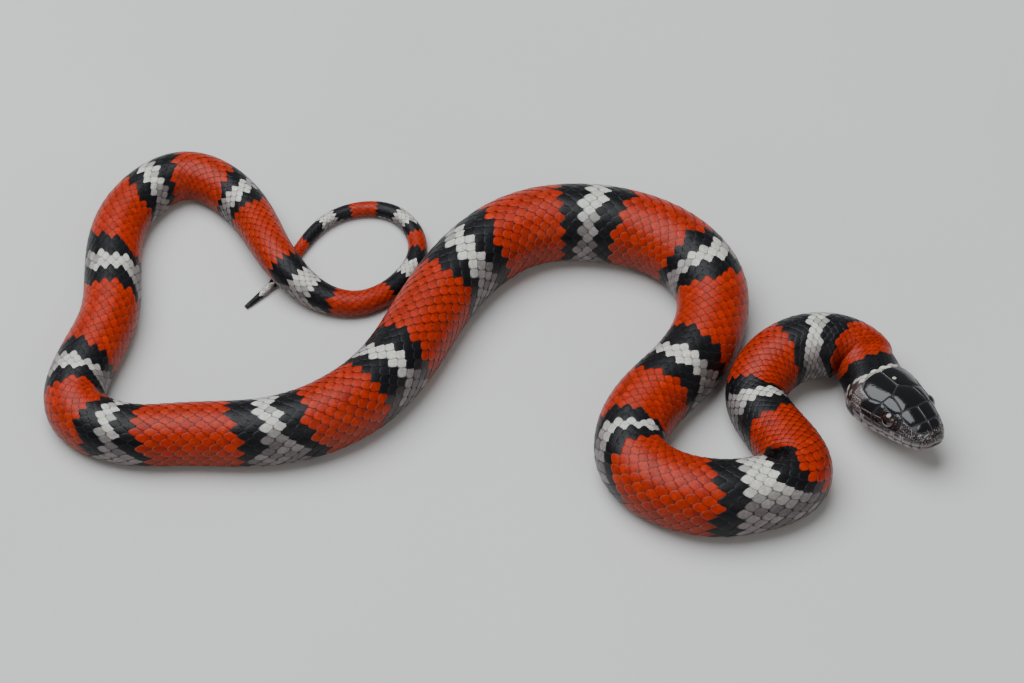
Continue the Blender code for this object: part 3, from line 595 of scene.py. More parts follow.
def lay_on_skin(tree, flat, skin_object, map_name):
    """Lays a flat mesh on the skin: X and Y are places on the skin's flat map and Z the height off it."""
    skin_mesh = node(tree, "GeometryNodeObjectInfo", {"Object": skin_object}).outputs["Geometry"]
    place = node(tree, "GeometryNodeInputPosition").outputs[0]
    normal = node(tree, "GeometryNodeInputNormal").outputs[0]
    on_map = named_vector(tree, map_name)
    foot, outwards = (
        node(tree, "GeometryNodeSampleUVSurface", {
            "Mesh": skin_mesh, "Value": value, "UV Map": on_map, "Sample UV": place,
        }, data_type="FLOAT_VECTOR").outputs["Value"]
        for value in (place, normal)
    )
    height = node(tree, "ShaderNodeSeparateXYZ", {0: place}).outputs["Z"]
    straight = node(tree, "ShaderNodeVectorMath", {0: outwards}, operation="NORMALIZE").outputs[0]
    off = node(tree, "ShaderNodeVectorMath", {0: straight, "Scale": height}, operation="SCALE").outputs[0]
    total = node(tree, "ShaderNodeVectorMath", {0: foot, 1: off}, operation="ADD").outputs[0]
    return node(tree, "GeometryNodeSetPosition", {"Geometry": flat, "Position": total}).outputs["Geometry"]


def tree_inputs(tree, wanted):
    """Adds the named inputs of a modifier's tree, and returns their identifiers by name."""
    names = {}
    tree.interface.new_socket("Geometry", in_out="INPUT", socket_type="NodeSocketGeometry")
    for name, kind in wanted:
        names[name] = tree.interface.new_socket(name, in_out="INPUT", socket_type=kind).identifier
    tree.interface.new_socket("Geometry", in_out="OUTPUT", socket_type="NodeSocketGeometry")
    return names


def finish_tree(tree, geometry, material_socket):
    dressed = node(tree, "GeometryNodeSetMaterial", {"Geometry": geometry, "Material": material_socket})
    node(tree, "NodeGroupOutput", {0: dressed.outputs[0]})


def scale_rows_tree():
    """Sets one scale on each point of a flat bed, gives it its bake patch and lays all on the skin."""
    tree = bpy.data.node_groups.new("rows of scales", "GeometryNodeTree")
    names = tree_inputs(tree, (
        ("Scale", "NodeSocketObject"), ("Skin", "NodeSocketObject"), ("Flat map", "NodeSocketString"),
        ("Finish", "NodeSocketMaterial"),
    ))
    given = node(tree, "NodeGroupInput")
    scale = node(tree, "GeometryNodeObjectInfo", {"Object": given.outputs["Scale"]})
    planted = node(tree, "GeometryNodeInstanceOnPoints", {
        "Points": given.outputs["Geometry"], "Instance": scale.outputs["Geometry"],
        "Scale": named_vector(tree, "size"), "Rotation": named_vector(tree, "turn"),
    })
    real = node(tree, "GeometryNodeRealizeInstances", {"Geometry": planted.outputs[0]})
    on_patch = node(tree, "ShaderNodeVectorMath", {
        0: named_vector(tree, "spot"), 1: named_vector(tree, "patch"), 2: named_vector(tree, "home"),
    }, operation="MULTIPLY_ADD")
    mapped = node(tree, "GeometryNodeStoreNamedAttribute", {
        "Geometry": real.outputs[0], "Name": "OFBake", "Value": on_patch.outputs[0],
    }, data_type="FLOAT2", domain="CORNER")
    laid = lay_on_skin(tree, mapped.outputs[0], given.outputs["Skin"], given.outputs["Flat map"])
    finish_tree(tree, laid, given.outputs["Finish"])
    return tree, names


def made_real(thing, tree, names, values, piece_name):
    """Runs a tree on an object and returns a plain mesh object with its result."""
    modifier = thing.modifiers.new("laid", "NODES")
    modifier.node_group = tree
    for name, value in values.items():
        modifier[names[name]] = value
    graph = bpy.context.evaluated_depsgraph_get()
    mesh = bpy.data.meshes.new_from_object(thing.evaluated_get(graph), depsgraph=graph)
    thing.modifiers.clear()
    for spare in ("size", "turn", "home", "patch", "spot"):
        if spare in mesh.attributes:
            mesh.attributes.remove(mesh.attributes[spare])
    mesh.name = piece_name
    bpy.data.objects.remove(thing)
    return new_piece(piece_name, mesh)


def face_outwards(mesh, merged=False):
    """Turns a closed mesh's faces outwards, after its doubled points are merged where that is asked."""
    bm = bmesh.new()
    bm.from_mesh(mesh)
    if merged:
        bmesh.ops.remove_doubles(bm, verts=bm.verts, dist=0.00001)
        bmesh.ops.dissolve_degenerate(bm, edges=bm.edges, dist=0.00001)
    bmesh.ops.recalc_face_normals(bm, faces=bm.faces)
    bm.to_mesh(mesh)
    bm.free()


# Root and length of a scale in pitches, and its underside in depths of the coat
SCALE_ROOT, SCALE_LENGTH = -0.75, 1.30
SCALE_FOOT = -0.45


def single_scale(name, half_width_at, lengthways, across, crown):
    """A closed scale, rooted at its front end, with so many cells along and across, domed by its crown."""
    u = 1.0 - (1.0 - np.linspace(0.0, 1.0, lengthways + 1)) ** 1.35
    v = np.sin(np.linspace(-1.0, 1.0, across + 1) * math.pi / 2.0) * 0.35
    v += np.linspace(-1.0, 1.0, across + 1) * 0.65
    grid_u, grid_v = np.meshgrid(u, v, indexing="ij")
    blunt = 1.0 - 0.10 * grid_v ** 2
    x = SCALE_ROOT + SCALE_LENGTH * grid_u * blunt
    y = grid_v * half_width_at(grid_u)
    edge = np.maximum(np.abs(grid_v), ease(grid_u, 0.55, 1.0))
    lift = 0.08 + 0.72 * grid_u ** 0.8 + crown * (1.0 - grid_v ** 2) * np.sin(math.pi * grid_u ** 0.9)
    lift -= 0.12 * edge ** 6
    index = np.arange(lift.size).reshape(lift.shape)
    rim = np.concatenate((index[0, :], index[1:, -1], index[-1, -2::-1], index[-2:0:-1, 0]))
    top = np.stack((x, y, lift), axis=-1).reshape(-1, 3)
    under = top[rim]
    under[:, 2] = SCALE_FOOT
    under[:, :2] *= 0.97
    verts = np.concatenate((top, under))
    foot = index.size + np.arange(len(rim))
    walls = np.stack((np.roll(rim, -1), np.roll(foot, -1), foot, rim), axis=-1)
    mesh = mesh_of(name, verts, [foot, *walls, *corners_of(index)])
    face_outwards(mesh)
    along = grid_u.ravel()
    add_attribute(mesh, "along", np.concatenate((along, along[rim])))
    add_attribute(mesh, "rim", np.concatenate((edge.ravel(), np.ones(len(rim)))))
    spots = np.stack((grid_u * 2.0 - 1.0, grid_v, grid_v * 0.0), axis=-1).reshape(-1, 3)
    add_attribute(mesh, "spot", np.concatenate((spots, spots[rim])))
    mesh.shade_smooth()
    mesh.set_sharp_from_angle(angle=math.radians(50.0))
    return new_piece(name, mesh)


def back_scale_width(u):
    """Half width of a back scale from its root to its tip, in row spacings: a rounded hexagon."""
    front = 0.88 * np.sqrt(np.maximum(1.0 - np.clip((0.52 - u) / 0.60, 0.0, 1.0) ** 2.6, 0.0))
    rear = 0.88 * np.maximum(1.0 - np.clip((u - 0.52) / 0.54, 0.0, 1.0) ** 1.8, 0.0) ** 0.72
    return np.where(u < 0.52, front, rear)


# Pitch of the scales along a row, at distances from the snout
SCALE_PITCH = (
    (15.0, 0.70), (20.0, 0.72), (26.0, 1.35), (56.0, 1.55), (69.0, 1.5), (79.0, 1.6), (87.0, 2.6),
    (97.0, 2.85), (109.0, 2.5),
    (117.0, 2.1), (139.0, 2.08), (154.0, 2.3), (181.0, 2.5), (204.0, 2.8), (225.0, 3.0), (249.0, 2.83),
    (269.0, 2.5), (289.0, 2.4), (304.0, 2.9), (319.0, 3.0), (334.0, 1.8), (342.0, 1.6), (351.0, 2.2),
    (361.0, 2.5), (399.0, 2.4), (449.0, 2.0), (479.0, 1.6), (509.0, 1.3), (545.0, 0.9),
)
# Spacing of the rows as a share of the half width, with fewer rows on the thin tail
ROW_SHARE = 0.185
ROWS_ASIDE = 14
# Share of the girth that the scales of the back cover
BACK_SHARE = 0.69
FIRST_ROW, LAST_ROW = 15.1, TAIL_END - 1.2
# The first scales behind the head's plates: distance round from the middle of the back, and from the snout
FIRST_SCALES = (
    (0.0, 18.5), (3.7, 18.4), (6.0, 17.8), (7.5, 18.3), (9.6, 18.3), (10.6, 17.8), (12.0, 17.5),
    (30.0, 17.4),
)


def row_spacing(s):
    half = half_width(s)
    return ROW_SHARE * half * np.maximum(1.0, 5.0 / half) ** 0.45


def pitch_stops(start, end):
    stops = [start]
    while stops[-1] < end:
        stops.append(stops[-1] + float(table_at(SCALE_PITCH, stops[-1])))
    return np.array(stops)


def back_lattice():
    """Flat places of all the scales of the back, in rows that are staggered by half a pitch."""
    stops = pitch_stops(FIRST_ROW, LAST_ROW)
    found = []
    for row in range(-ROWS_ASIDE, ROWS_ASIDE + 1):
        s = stops if row % 2 == 0 else (stops[1:] + stops[:-1]) / 2.0
        w = row * row_spacing(s)
        keep = np.abs(w) < BACK_SHARE * girth_at(s)
        keep &= (s > table_at(FIRST_SCALES, np.abs(w))) & (s < LAST_ROW)
        found.append(np.stack((s[keep], w[keep]), axis=1))
    return np.concatenate(found)


# Tone of the scales' rims low on the flank: pinkish skin showing between them, with a painted highlight
# along the raised rims
FLANK_RIM_AND_HIGHLIGHT = np.array((0.34, 0.085, 0.055))
# Tones of the mottled scales of the cheeks
CHEEK_TONES = (
    (0.42, 0.39, 0.35), (0.30, 0.275, 0.26), (0.20, 0.17, 0.16), (0.06, 0.032, 0.025), (0.03, 0.018, 0.015),
)


def scale_colours(s, w, chance):
    """Colours of the scales' middles and rims, which differ a little each time, and their redness. The rims
    of the black scales, and of the red ones low on the flank, carry a painted highlight.
    """
    girth = girth_at(s)
    shifted = s + chance.uniform(-0.25, 0.25, len(s)) * ease(s, 19.0, 27.0)
    coat, kind = ring_colours(shifted, w, girth)
    share = np.abs(w) / girth
    tone = chance.normal(1.0, 0.09, len(s))[:, None]
    warm = chance.normal(0.0, 0.10, len(s))[:, None]
    red = coat * tone * np.concatenate((np.ones_like(warm), 1.0 + warm, 1.0 + warm), axis=1)
    flank = ease(share, 0.14, 0.45)[:, None]
    # Rims of the red scales: darker on the back; low on the flank pinkish skin with a painted highlight
    red_rim_and_highlight = (1.0 - flank) * coat * 0.75 + flank * FLANK_RIM_AND_HIGHLIGHT
    cream = coat * chance.normal(0.97, 0.06, len(s))[:, None]
    smudged = (chance.uniform(0.0, 1.0, len(s)) < 0.08 + 0.35 * flank[:, 0])[:, None]
    cream = np.where(smudged, cream * 0.60, cream)
    patchwork = np.array(CHEEK_TONES)[chance.integers(0, len(CHEEK_TONES), len(s))]
    cream = np.where(((s < 24.0) & (np.abs(w) > 5.5))[:, None], patchwork * tone, cream)
    cream_rim = cream * (0.62 - 0.17 * flank)
    black = coat * chance.uniform(0.7, 1.5, len(s))[:, None]
    # The black scales' rims are paler and bluish: a painted highlight along their edges
    black_rim_highlight = black * 1.6 + np.array((0.008, 0.009, 0.012))
    kind = kind[:, None]
    middle = np.where(kind == 0, red, np.where(kind == 2, cream, black))
    rim = np.where(kind == 0, red_rim_and_highlight, np.where(kind == 2, cream_rim, black_rim_highlight))
    return np.clip(middle, 0.0, 1.0), np.clip(rim, 0.0, 1.0), (kind[:, 0] == 0).astype(float)


def flat_bed(name, s, across, sizes, turn, middle, rim, redness, home, patch):
    """Points of a flat bed, one for each scale, with what the tree reads there."""
    mesh = bpy.data.meshes.new(name)
    mesh.vertices.add(len(s))
    mesh.vertices.foreach_set("co", np.stack((s, across, s * 0.0), axis=1).astype(np.float32).ravel() * MM)
    add_attribute(mesh, "size", sizes * MM)
    add_attribute(mesh, "turn", np.outer(turn, (0.0, 0.0, 1.0)))
    add_attribute(mesh, "tint", with_alpha(middle))
    add_attribute(mesh, "edge", with_alpha(rim))
    add_attribute(mesh, "redness", redness)
    add_attribute(mesh, "home", home)
    add_attribute(mesh, "patch", np.broadcast_to(patch, (len(s), 3)))
    return new_piece(name, mesh)


# Painted shade that darkens the thin seam round each scale where it steps down onto the next, the two
# shades of its mottling, and its dark specks
SEAM_PAINTED_SHADE = (0.20, 0.22, 0.34, 1.0)
HORN_SHADES = (0.80, 0.78, 0.76, 1.0), (1.12, 1.10, 1.08, 1.0)
DARK_SPECK = (0.10, 0.012, 0.006, 1.0)


def stepped(tree, value, low, high):
    """A smooth step from 0 to 1 while a value goes from low to high."""
    kind = "ShaderNodeMapRange"
    limits = {"Value": value, "From Min": low, "From Max": high}
    return node(tree, kind, limits, interpolation_type="SMOOTHSTEP").outputs[0]


def horn_finish(name, roughness):
    """Horn of the scales: each scale's own colour, a rim of another tone that carries a painted highlight
    on the black scales and low on the red flank, painted shade in the seam round it, and dark specks on the
    red.
    """
    finish, tree, shader = new_finish(name)
    rim = attribute(tree, "rim", "Fac")
    ground = blended(tree, stepped(tree, rim, 0.70, 0.92), attribute(tree, "tint"), attribute(tree, "edge"))
    # The very edge of each scale and its side wall are darkened: painted shade where it steps down onto the
    # next
    seam = blended(tree, 1.0, ground, SEAM_PAINTED_SHADE, "MULTIPLY")
    ground = blended(tree, stepped(tree, rim, 0.86, 0.97), ground, seam)
    ground = blended(tree, 1.0, ground, blended(tree, cloudy(tree, 1400.0, 4.0), *HORN_SHADES), "MULTIPLY")
    near_root = stepped(tree, attribute(tree, "along", "Fac"), 0.62, 0.40)
    speck = times(tree, times(tree, near_root, attribute(tree, "redness", "Fac")), 0.55)
    ground = blended(tree, times(tree, speck, cloudy(tree, 700.0, 2.0, 0.40, 0.60)), ground, DARK_SPECK)
    rough = node(tree, "ShaderNodeMapRange", {
        "Value": cloudy(tree, 2500.0), "To Min": roughness - 0.06, "To Max": roughness + 0.08,
    })
    give(tree, shader, {"Base Color": ground, "Roughness": rough.outputs[0], "Specular IOR Level": 0.20})
    add_bump(tree, shader, cloudy(tree, 5200.0, 2.0), 0.00002)
    return finish


chance = np.random.default_rng(7)
rows_tree, rows_names = scale_rows_tree()
back_scale = single_scale("one back scale", back_scale_width, 5, 6, 0.12)
back_finish = horn_finish("horn of the back", 0.34)
lattice = back_lattice()
STRETCHES = (
    ("scales_neck", 0.0, 66.0), ("scales_coil", 66.0, 126.0), ("scales_front", 126.0, 196.0),
    ("scales_middle", 196.0, 270.0), ("scales_rear", 270.0, 340.0), ("scales_hind", 340.0, 425.0),
    ("scales_tail", 425.0, 546.0),
)
BAKE_PATCH = (0.0015, 0.0015, 0.0)
for name, start, end in STRETCHES:
    here = lattice[(lattice[:, 0] >= start) & (lattice[:, 0] < end)]
    s, w = here[:, 0], here[:, 1]
    middle, rim, redness = scale_colours(s, w, chance)
    outer = 1.0 + 0.14 * ease(np.abs(w) / girth_at(s), 0.5, 0.68)
    spread = chance.normal(1.0, 0.025, len(s))
    sizes = np.stack((
        table_at(SCALE_PITCH, s) * spread,
        row_spacing(s) * outer * spread,
        coat_depth(s) * chance.normal(1.0, 0.06, len(s)),
    ), axis=1)
    along = (s - s.min()) / (s.max() - s.min() + 6.0) * 0.98 + 0.01
    home = np.stack((along, 0.5 - w / 52.0, s * 0.0), axis=1)
    turn = chance.normal(0.0, 0.03, len(s))
    bed = flat_bed(name + "_bed", s, -w, sizes, turn, middle, rim, redness, home, BAKE_PATCH)
    scales = made_real(bed, rows_tree, rows_names, {
        "Scale": back_scale, "Skin": skin, "Flat map": "back", "Finish": back_finish,
    }, name)
    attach(scales, "root")
bpy.data.objects.remove(back_scale)

# Scutes of the belly
# One broad, smooth scute spans the belly for each row of scales on the back, from the throat to the vent,
# and under the tail they stand in pairs. Their rear edges lie free and their ends pass under the scales.
# Half widths of a single and of a paired scute, and the place of a paired one, as shares of the girth
SCUTE_HALF = 0.33
PAIRED_HALF, PAIRED_ASIDE = 0.185, 0.175
FIRST_SCUTE, VENT = 19.6, 468.0
SCUTE_PATCH = (0.0012, 0.22, 0.0)


def scute_width(u):
    return 1.0 - 0.10 * ease(u, 0.75, 1.0)


def belly_bed():
    """Flat places, sizes and colours of the scutes: one row to the vent, then two rows side by side."""
    stops = pitch_stops(FIRST_SCUTE, TAIL_END - 2.0)
    single = stops[stops < VENT]
    paired = stops[(stops >= VENT) & (stops < TAIL_END - 2.0)]
    between = (paired[1:] + paired[:-1]) / 2.0
    s = np.concatenate((single, paired, between))
    girth = girth_at(s)
    side_of = np.repeat((0.0, 1.0, -1.0), (len(single), len(paired), len(between)))
    half = np.where(side_of == 0.0, SCUTE_HALF, PAIRED_HALF) * girth
    coat, _ = ring_colours(s, girth * 0.9, girth)
    middle = coat * chance.normal(1.0, 0.05, len(s))[:, None]
    sizes = np.stack((table_at(SCALE_PITCH, s), half, coat_depth(s) * 0.9), axis=1)
    home = np.stack((s / (TAIL_END + 4.0), 0.5 + side_of * 0.26, s * 0.0), axis=1)
    across, none = side_of * PAIRED_ASIDE * girth, s * 0.0
    return flat_bed("belly_bed", s, across, sizes, none, middle, middle * 0.6, none, home, SCUTE_PATCH)


belly_scute = single_scale("one belly scute", scute_width, 3, 14, 0.02)
belly_finish = horn_finish("horn of the belly", 0.36)
belly = made_real(belly_bed(), rows_tree, rows_names, {
    "Scale": belly_scute, "Skin": skin, "Flat map": "belly", "Finish": belly_finish,
}, "belly_scutes")
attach(belly, "root")
bpy.data.objects.remove(belly_scute)

# Plates of the head
# Large, thin plates of horn cover the crown, the sides and the lips, with narrow seams between them. The
# crown is glossy black; the snout, the lips and the cheeks are flecked and barred with a pale grey.
PLATE_EDGE = ((0.05, -0.25), (0.05, 0.05), (0.10, 0.13), (0.26, 0.17))
PLATE_CORE = ((0.6, 0.19), (0.3, 0.20))
PLATE_RIMS = (1.0, 1.0, 0.6, 0.0, 0.0, 0.0)
EYE_OPENING = 1.55
NOSTRIL, NOSTRIL_OPENING = (1.85, 4.75), 0.40
MOUTH_LINE = ((0.0, 2.95), (2.0, 2.75), (6.0, 2.8), (11.0, 3.0), (15.0, 3.5), (17.0, 4.1))
LIP_GAP = 0.13
PLATE_BLACK = (0.004, 0.004, 0.005)
PALE_FLECK = (0.22, 0.195, 0.195)
# Bluish grey of the plates' rounded edges: a painted highlight
PAINTED_EDGE_HIGHLIGHT = (0.30, 0.31, 0.34, 1.0)
SNOUT_BROWN, CHEEK_BLACK = (0.020, 0.014, 0.012), (0.012, 0.009, 0.009)


def head_outline(back):
    """The left half of the head's outline at a distance from the snout: half girth, arc, aside and up."""
    _, plain, up, arc = sections(np.array([float(back)]))
    return arc[0, ARC_TOP], arc[0, :ARC_TOP + 1], plain[0, :ARC_TOP + 1], up[0, :ARC_TOP + 1]


def side(back, height):
    """Flat place on the animal's left side at a height above its chin."""
    girth, arc, _, up = head_outline(back)
    return back, float(np.interp(height, up, arc)) - girth


def top(back, across):
    """Flat place on the crown at a distance to the left of its middle."""
    girth, arc, aside, _ = head_outline(back)
    return back, float(np.interp(across, aside[:ARC_SIDE - 1:-1], arc[:ARC_SIDE - 1:-1])) - girth


def mouth(back):
    return float(table_at(MOUTH_LINE, back))


def plate_border(corners, openings):
    """A plate's border, anticlockwise, with eased corners, and kept clear of the round openings."""
    corners = np.array(corners, float)
    pieces = []
    for start, end in zip(corners, np.roll(corners, -1, axis=0)):
        count = max(2, int(round(float(np.linalg.norm(end - start)) / 0.4)))
        pieces.append(start + (end - start) * (np.arange(count) / count)[:, None])
    border = np.concatenate(pieces)
    border = (np.roll(border, 1, axis=0) + 2.0 * border + np.roll(border, -1, axis=0)) / 4.0
    for middle, radius in openings:
        off = border - middle
        far = np.linalg.norm(off, axis=1, keepdims=True)
        border = np.where(far < radius, middle + off / np.maximum(far, 1e-6) * radius, border)
    following = np.roll(border, -1, axis=0)
    area = (border[:, 0] * following[:, 1] - border[:, 1] * following[:, 0]).sum()
    return border if area > 0.0 else border[::-1]


def circle(count):
    angle = np.linspace(0.0, 2.0 * math.pi, count + 1)[:-1]
    return np.stack((np.cos(angle), np.sin(angle)), axis=1)


def raised(flat, height):
    return np.column_stack((flat, np.full(len(flat), height)))


class PlateSheet:
    """Collects closed plates in flat places, each with its colours, to be laid on the skin together."""

    def __init__(self):
        self.points, self.faces, self.tint, self.rim, self.fleck, self.bake = [], [], [], [], [], []
        self.count = 0

    def add_rows(self, rows, rims, tint, fleck, closed_tube=False):
        """Rings of points, the lowest outer one first; the last is closed by a fan, or by the first."""
        size = len(rows[0])
        points = np.concatenate(rows)
        first = self.count
        if not closed_tube:
            self.faces.append(tuple(first + i for i in reversed(range(size))))
        spans = [(k, k + 1) for k in range(len(rows) - 1)]
        for low, high in spans + [(len(rows) - 1, 0)] * closed_tube:
            for i in range(size):
                j = (i + 1) % size
                a, b = first + low * size, first + high * size
                self.faces.append((a + i, a + j, b + j, b + i))
        bake = points[:, :2].copy()
        rim = np.repeat(rims, size)
        if not closed_tube:
            last = first + (len(rows) - 1) * size
            centre = rows[-1].mean(axis=0)
            points = np.concatenate((points, centre[None]))
            bake[:size] += unit(rows[0][:, :2] - centre[:2]) * 0.04
            bake = np.concatenate((bake, centre[None, :2]))
            rim = np.concatenate((rim, [0.0]))
            for i in range(size):
                self.faces.append((last + i, last + (i + 1) % size, first + len(points) - 1))
        self.points.append(points)
        self.bake.append(bake)
        self.rim.append(rim)
        self.tint.append(np.broadcast_to(tint(points) if callable(tint) else tint, (len(points), 3)))
        self.fleck.append(np.broadcast_to(fleck(points) if callable(fleck) else fleck, (len(points),)))
        self.count += len(points)

    def add_plate(self, corners, tint=PLATE_BLACK, fleck=0.0, openings=()):
        """A plate with a rounded edge and a slightly domed middle."""
        border = plate_border(corners, openings)
        tangent = np.roll(border, -1, axis=0) - np.roll(border, 1, axis=0)
        inwards = unit(np.stack((-tangent[:, 1], tangent[:, 0]), axis=1))
        rings = [border + inwards * inset for inset, _ in PLATE_EDGE]
        centre = rings[-1].mean(axis=0)
        rings += [centre + (rings[-1] - centre) * share for share, _ in PLATE_CORE]
        rows = [raised(ring, height) for ring, (_, height) in zip(rings, PLATE_EDGE + PLATE_CORE)]
        self.add_rows(rows, PLATE_RIMS, tint, fleck)

    def add_pair(self, corners, tint=PLATE_BLACK, fleck=0.0, openings=()):
        """A plate on the left and its mirror image on the right."""
        for turn in (1.0, -1.0):
            mirrored = [(back, across * turn) for back, across in corners]
            holes = [(np.array((middle[0], middle[1] * turn)), radius) for middle, radius in openings]
            self.add_plate(mirrored, tint, fleck, holes)

    def add_rim(self, middle, radius, tube, rise, tint):
        """A round rim that stands off the skin, as a closed tube."""
        rows = [
            raised(np.array(middle) + circle(32) * (radius + tube * aside), rise + tube * up)
            for aside, up in circle(8)
        ]
        self.add_rows(rows, np.zeros(len(rows)), tint, 0.0, closed_tube=True)

    def add_dot(self, middle, steps, tint):
        """A small round cup or bump: rings of a radius and a height each, the lowest outer one first."""
        rows = [raised(np.array(middle) + circle(14) * radius, height) for radius, height in steps]
        self.add_rows(rows, np.zeros(len(rows)), tint, 0.0)

    def mesh(self, name):
        """The flat sheet of all its plates, as an object."""
        mesh = mesh_of(name, np.concatenate(self.points) * MM, self.faces)
        add_attribute(mesh, "tint", with_alpha(np.concatenate(self.tint)))
        add_attribute(mesh, "rim", np.concatenate(self.rim))
        add_attribute(mesh, "fleck", np.concatenate(self.fleck))
        corner = np.zeros(len(mesh.loops), np.int32)
        mesh.loops.foreach_get("vertex_index", corner)
        bake = np.concatenate(self.bake)[corner]
        unwrap = np.stack((bake[:, 0] / 26.0 + 0.01, 0.5 + bake[:, 1] / 40.0), axis=1)
        add_attribute(mesh, "OFBake", unwrap)
        mesh.shade_smooth()
        mesh.set_sharp_from_angle(angle=math.radians(62.0))
        return new_piece(name, mesh)


def laid_sheet_tree():
    """Lays a sheet of flat plates on the skin."""
    tree = bpy.data.node_groups.new("sheet of plates", "GeometryNodeTree")
    names = tree_inputs(tree, (
        ("Skin", "NodeSocketObject"), ("Flat map", "NodeSocketString"), ("Finish", "NodeSocketMaterial"),
    ))
    given = node(tree, "NodeGroupInput")
    laid = lay_on_skin(tree, given.outputs["Geometry"], given.outputs["Skin"], given.outputs["Flat map"])
    real = node(tree, "GeometryNodeRealizeInstances", {"Geometry": laid})
    finish_tree(tree, real.outputs[0], given.outputs["Finish"])
    return tree, names


def plate_finish(name, roughness):
    """Polished horn: the plate's own colour, pale flecks where it has them, and a faint painted highlight
    along the edge.
    """
    finish, tree, shader = new_finish(name)
    amount = node(tree, "ShaderNodeMath", {
        0: attribute(tree, "fleck", "Fac"), 1: 0.40, 2: noisy(tree, 3700.0, 4.0),
    }, operation="MULTIPLY_ADD")
    mask = stepped(tree, amount.outputs[0], 0.76, 0.88)
    ground = blended(tree, mask, attribute(tree, "tint"), (*PALE_FLECK, 1.0))
    # A faint painted highlight along each plate's rounded edge
    edge = times(tree, attribute(tree, "rim", "Fac"), 0.12)
    ground = blended(tree, edge, ground, PAINTED_EDGE_HIGHLIGHT)
    give(tree, shader, {"Base Color": ground, "Roughness": roughness, "Specular IOR Level": 0.5})
    add_bump(tree, shader, cloudy(tree, 2600.0, 2.0), 0.00001)
    return finish


eye_spot = side(8.4, 6.4)
nostril_spot = side(*NOSTRIL)
EYE_HOLE = ((eye_spot, EYE_OPENING),)
NOSTRIL_HOLE = ((nostril_spot, NOSTRIL_OPENING),)
crown = PlateSheet()
crown.add_pair([top(0.9, 0), top(2.9, 0), top(3.1, 2.5), top(2.3, 3.2), top(1.1, 2.0)],
               fleck=lambda p: 0.62 * (1.0 - ease(p[:, 0], 0.9, 2.2)))
crown.add_pair([top(2.9, 0), top(6.3, 0), top(6.85, 3.3), top(6.7, 3.9), top(5.6, 3.95), top(3.7, 3.6),
                top(3.1, 2.5)], fleck=lambda p: 0.5 * ease(np.abs(p[:, 1]), 3.4, 4.2))
frontal = [top(6.3, 0), top(6.85, 3.3), top(8.8, 2.95), top(10.9, 2.65), top(12.7, 0)]
crown.add_plate(frontal + [(back, -across) for back, across in frontal[3:0:-1]])
crown.add_pair(frontal[1:4] + [top(11.2, 3.0), top(11.3, 5.0), top(10.2, 5.0), top(9.2, 5.0), top(7.6, 4.6),
                               top(6.7, 3.9)], openings=EYE_HOLE)


def parietal_tint(points):
    """Black, with a cream hair line along the rear edge."""
    far = np.interp(np.abs(points[:, 1]), (0.0, 1.5, 4.2, 6.6), (17.98, 18.14, 17.9, 16.6))
    return toned(PLATE_BLACK, (0.50, 0.48, 0.40), points[:, 0] > far)


crown.add_pair([top(12.7, 0), top(10.9, 2.65), top(11.2, 3.0), top(11.3, 5.0), top(14.2, 6.0),
                top(16.8, 5.6), top(18.2, 3.6), top(18.4, 1.5), top(18.2, 0)], parietal_tint)
nasal = [side(0.75, 4.15), (1.85, side(1.85, 4.2)[1]), (1.85, top(1.85, 2.9)[1]), top(1.1, 2.0)]
crown.add_pair(nasal, SNOUT_BROWN, 0.72, NOSTRIL_HOLE)
crown.add_pair([(1.85, side(1.85, 4.2)[1]), side(3.4, 4.35), top(3.7, 3.6), top(2.3, 3.2),
                (1.85, top(1.85, 2.9)[1])], SNOUT_BROWN, 0.68, NOSTRIL_HOLE)
crown.add_pair([side(3.4, 4.35), side(5.4, 4.45), top(5.6, 3.95), top(3.7, 3.6)], SNOUT_BROWN, 0.62)
crown.add_pair([side(5.4, 4.45), side(6.8, 4.5), side(7.6, 4.9), side(7.6, 8.2), top(6.7, 3.9),
                top(5.6, 3.95)], (0.014, 0.010, 0.010), 0.50, EYE_HOLE)
crown.add_pair([side(9.4, 4.6), side(11.6, 4.7), side(12.1, 5.6), side(11.9, 6.3), side(9.6, 6.3)],
               CHEEK_BLACK, 0.42, EYE_HOLE)
crown.add_pair([side(9.6, 6.3), side(11.9, 6.3), top(11.3, 5.0), top(10.2, 5.0)],
               (0.008, 0.007, 0.007), 0.2, EYE_HOLE)
crown.add_pair([side(11.6, 4.7), side(14.2, 5.2), side(15.2, 6.3), side(11.9, 6.3), side(12.1, 5.6)],
               CHEEK_BLACK, 0.40)
crown.add_pair([side(11.9, 6.3), side(15.2, 6.35), side(15.4, 7.5), top(14.2, 6.0), top(11.3, 5.0)],
               PLATE_BLACK, lambda p: 0.45 * ease(p[:, 0], 13.0, 15.0))
BROWN_CHEEK = (0.075, 0.045, 0.036)
crown.add_pair([side(14.2, 5.2), side(16.8, 5.4), side(18.0, 6.3), side(15.2, 6.3)], BROWN_CHEEK, 0.66)
crown.add_pair([side(15.2, 6.3), side(18.0, 6.2), side(18.3, 7.6), side(15.4, 7.5)], BROWN_CHEEK, 0.72)
crown.add_pair([side(15.4, 7.5), side(18.3, 7.6), top(17.9, 4.9), top(16.8, 5.6), top(14.2, 6.0)],
               (0.10, 0.085, 0.075), 0.70)
UPPER_LIP = (0.95, 2.5, 4.6, 6.8, 9.1, 11.6, 14.2, 16.8)
UPPER_TOP = (4.15, 4.3, 4.4, 4.45, 4.5, 4.7, 5.2, 5.4)
BARRED_SEAMS = (4.6, 6.8, 14.2)


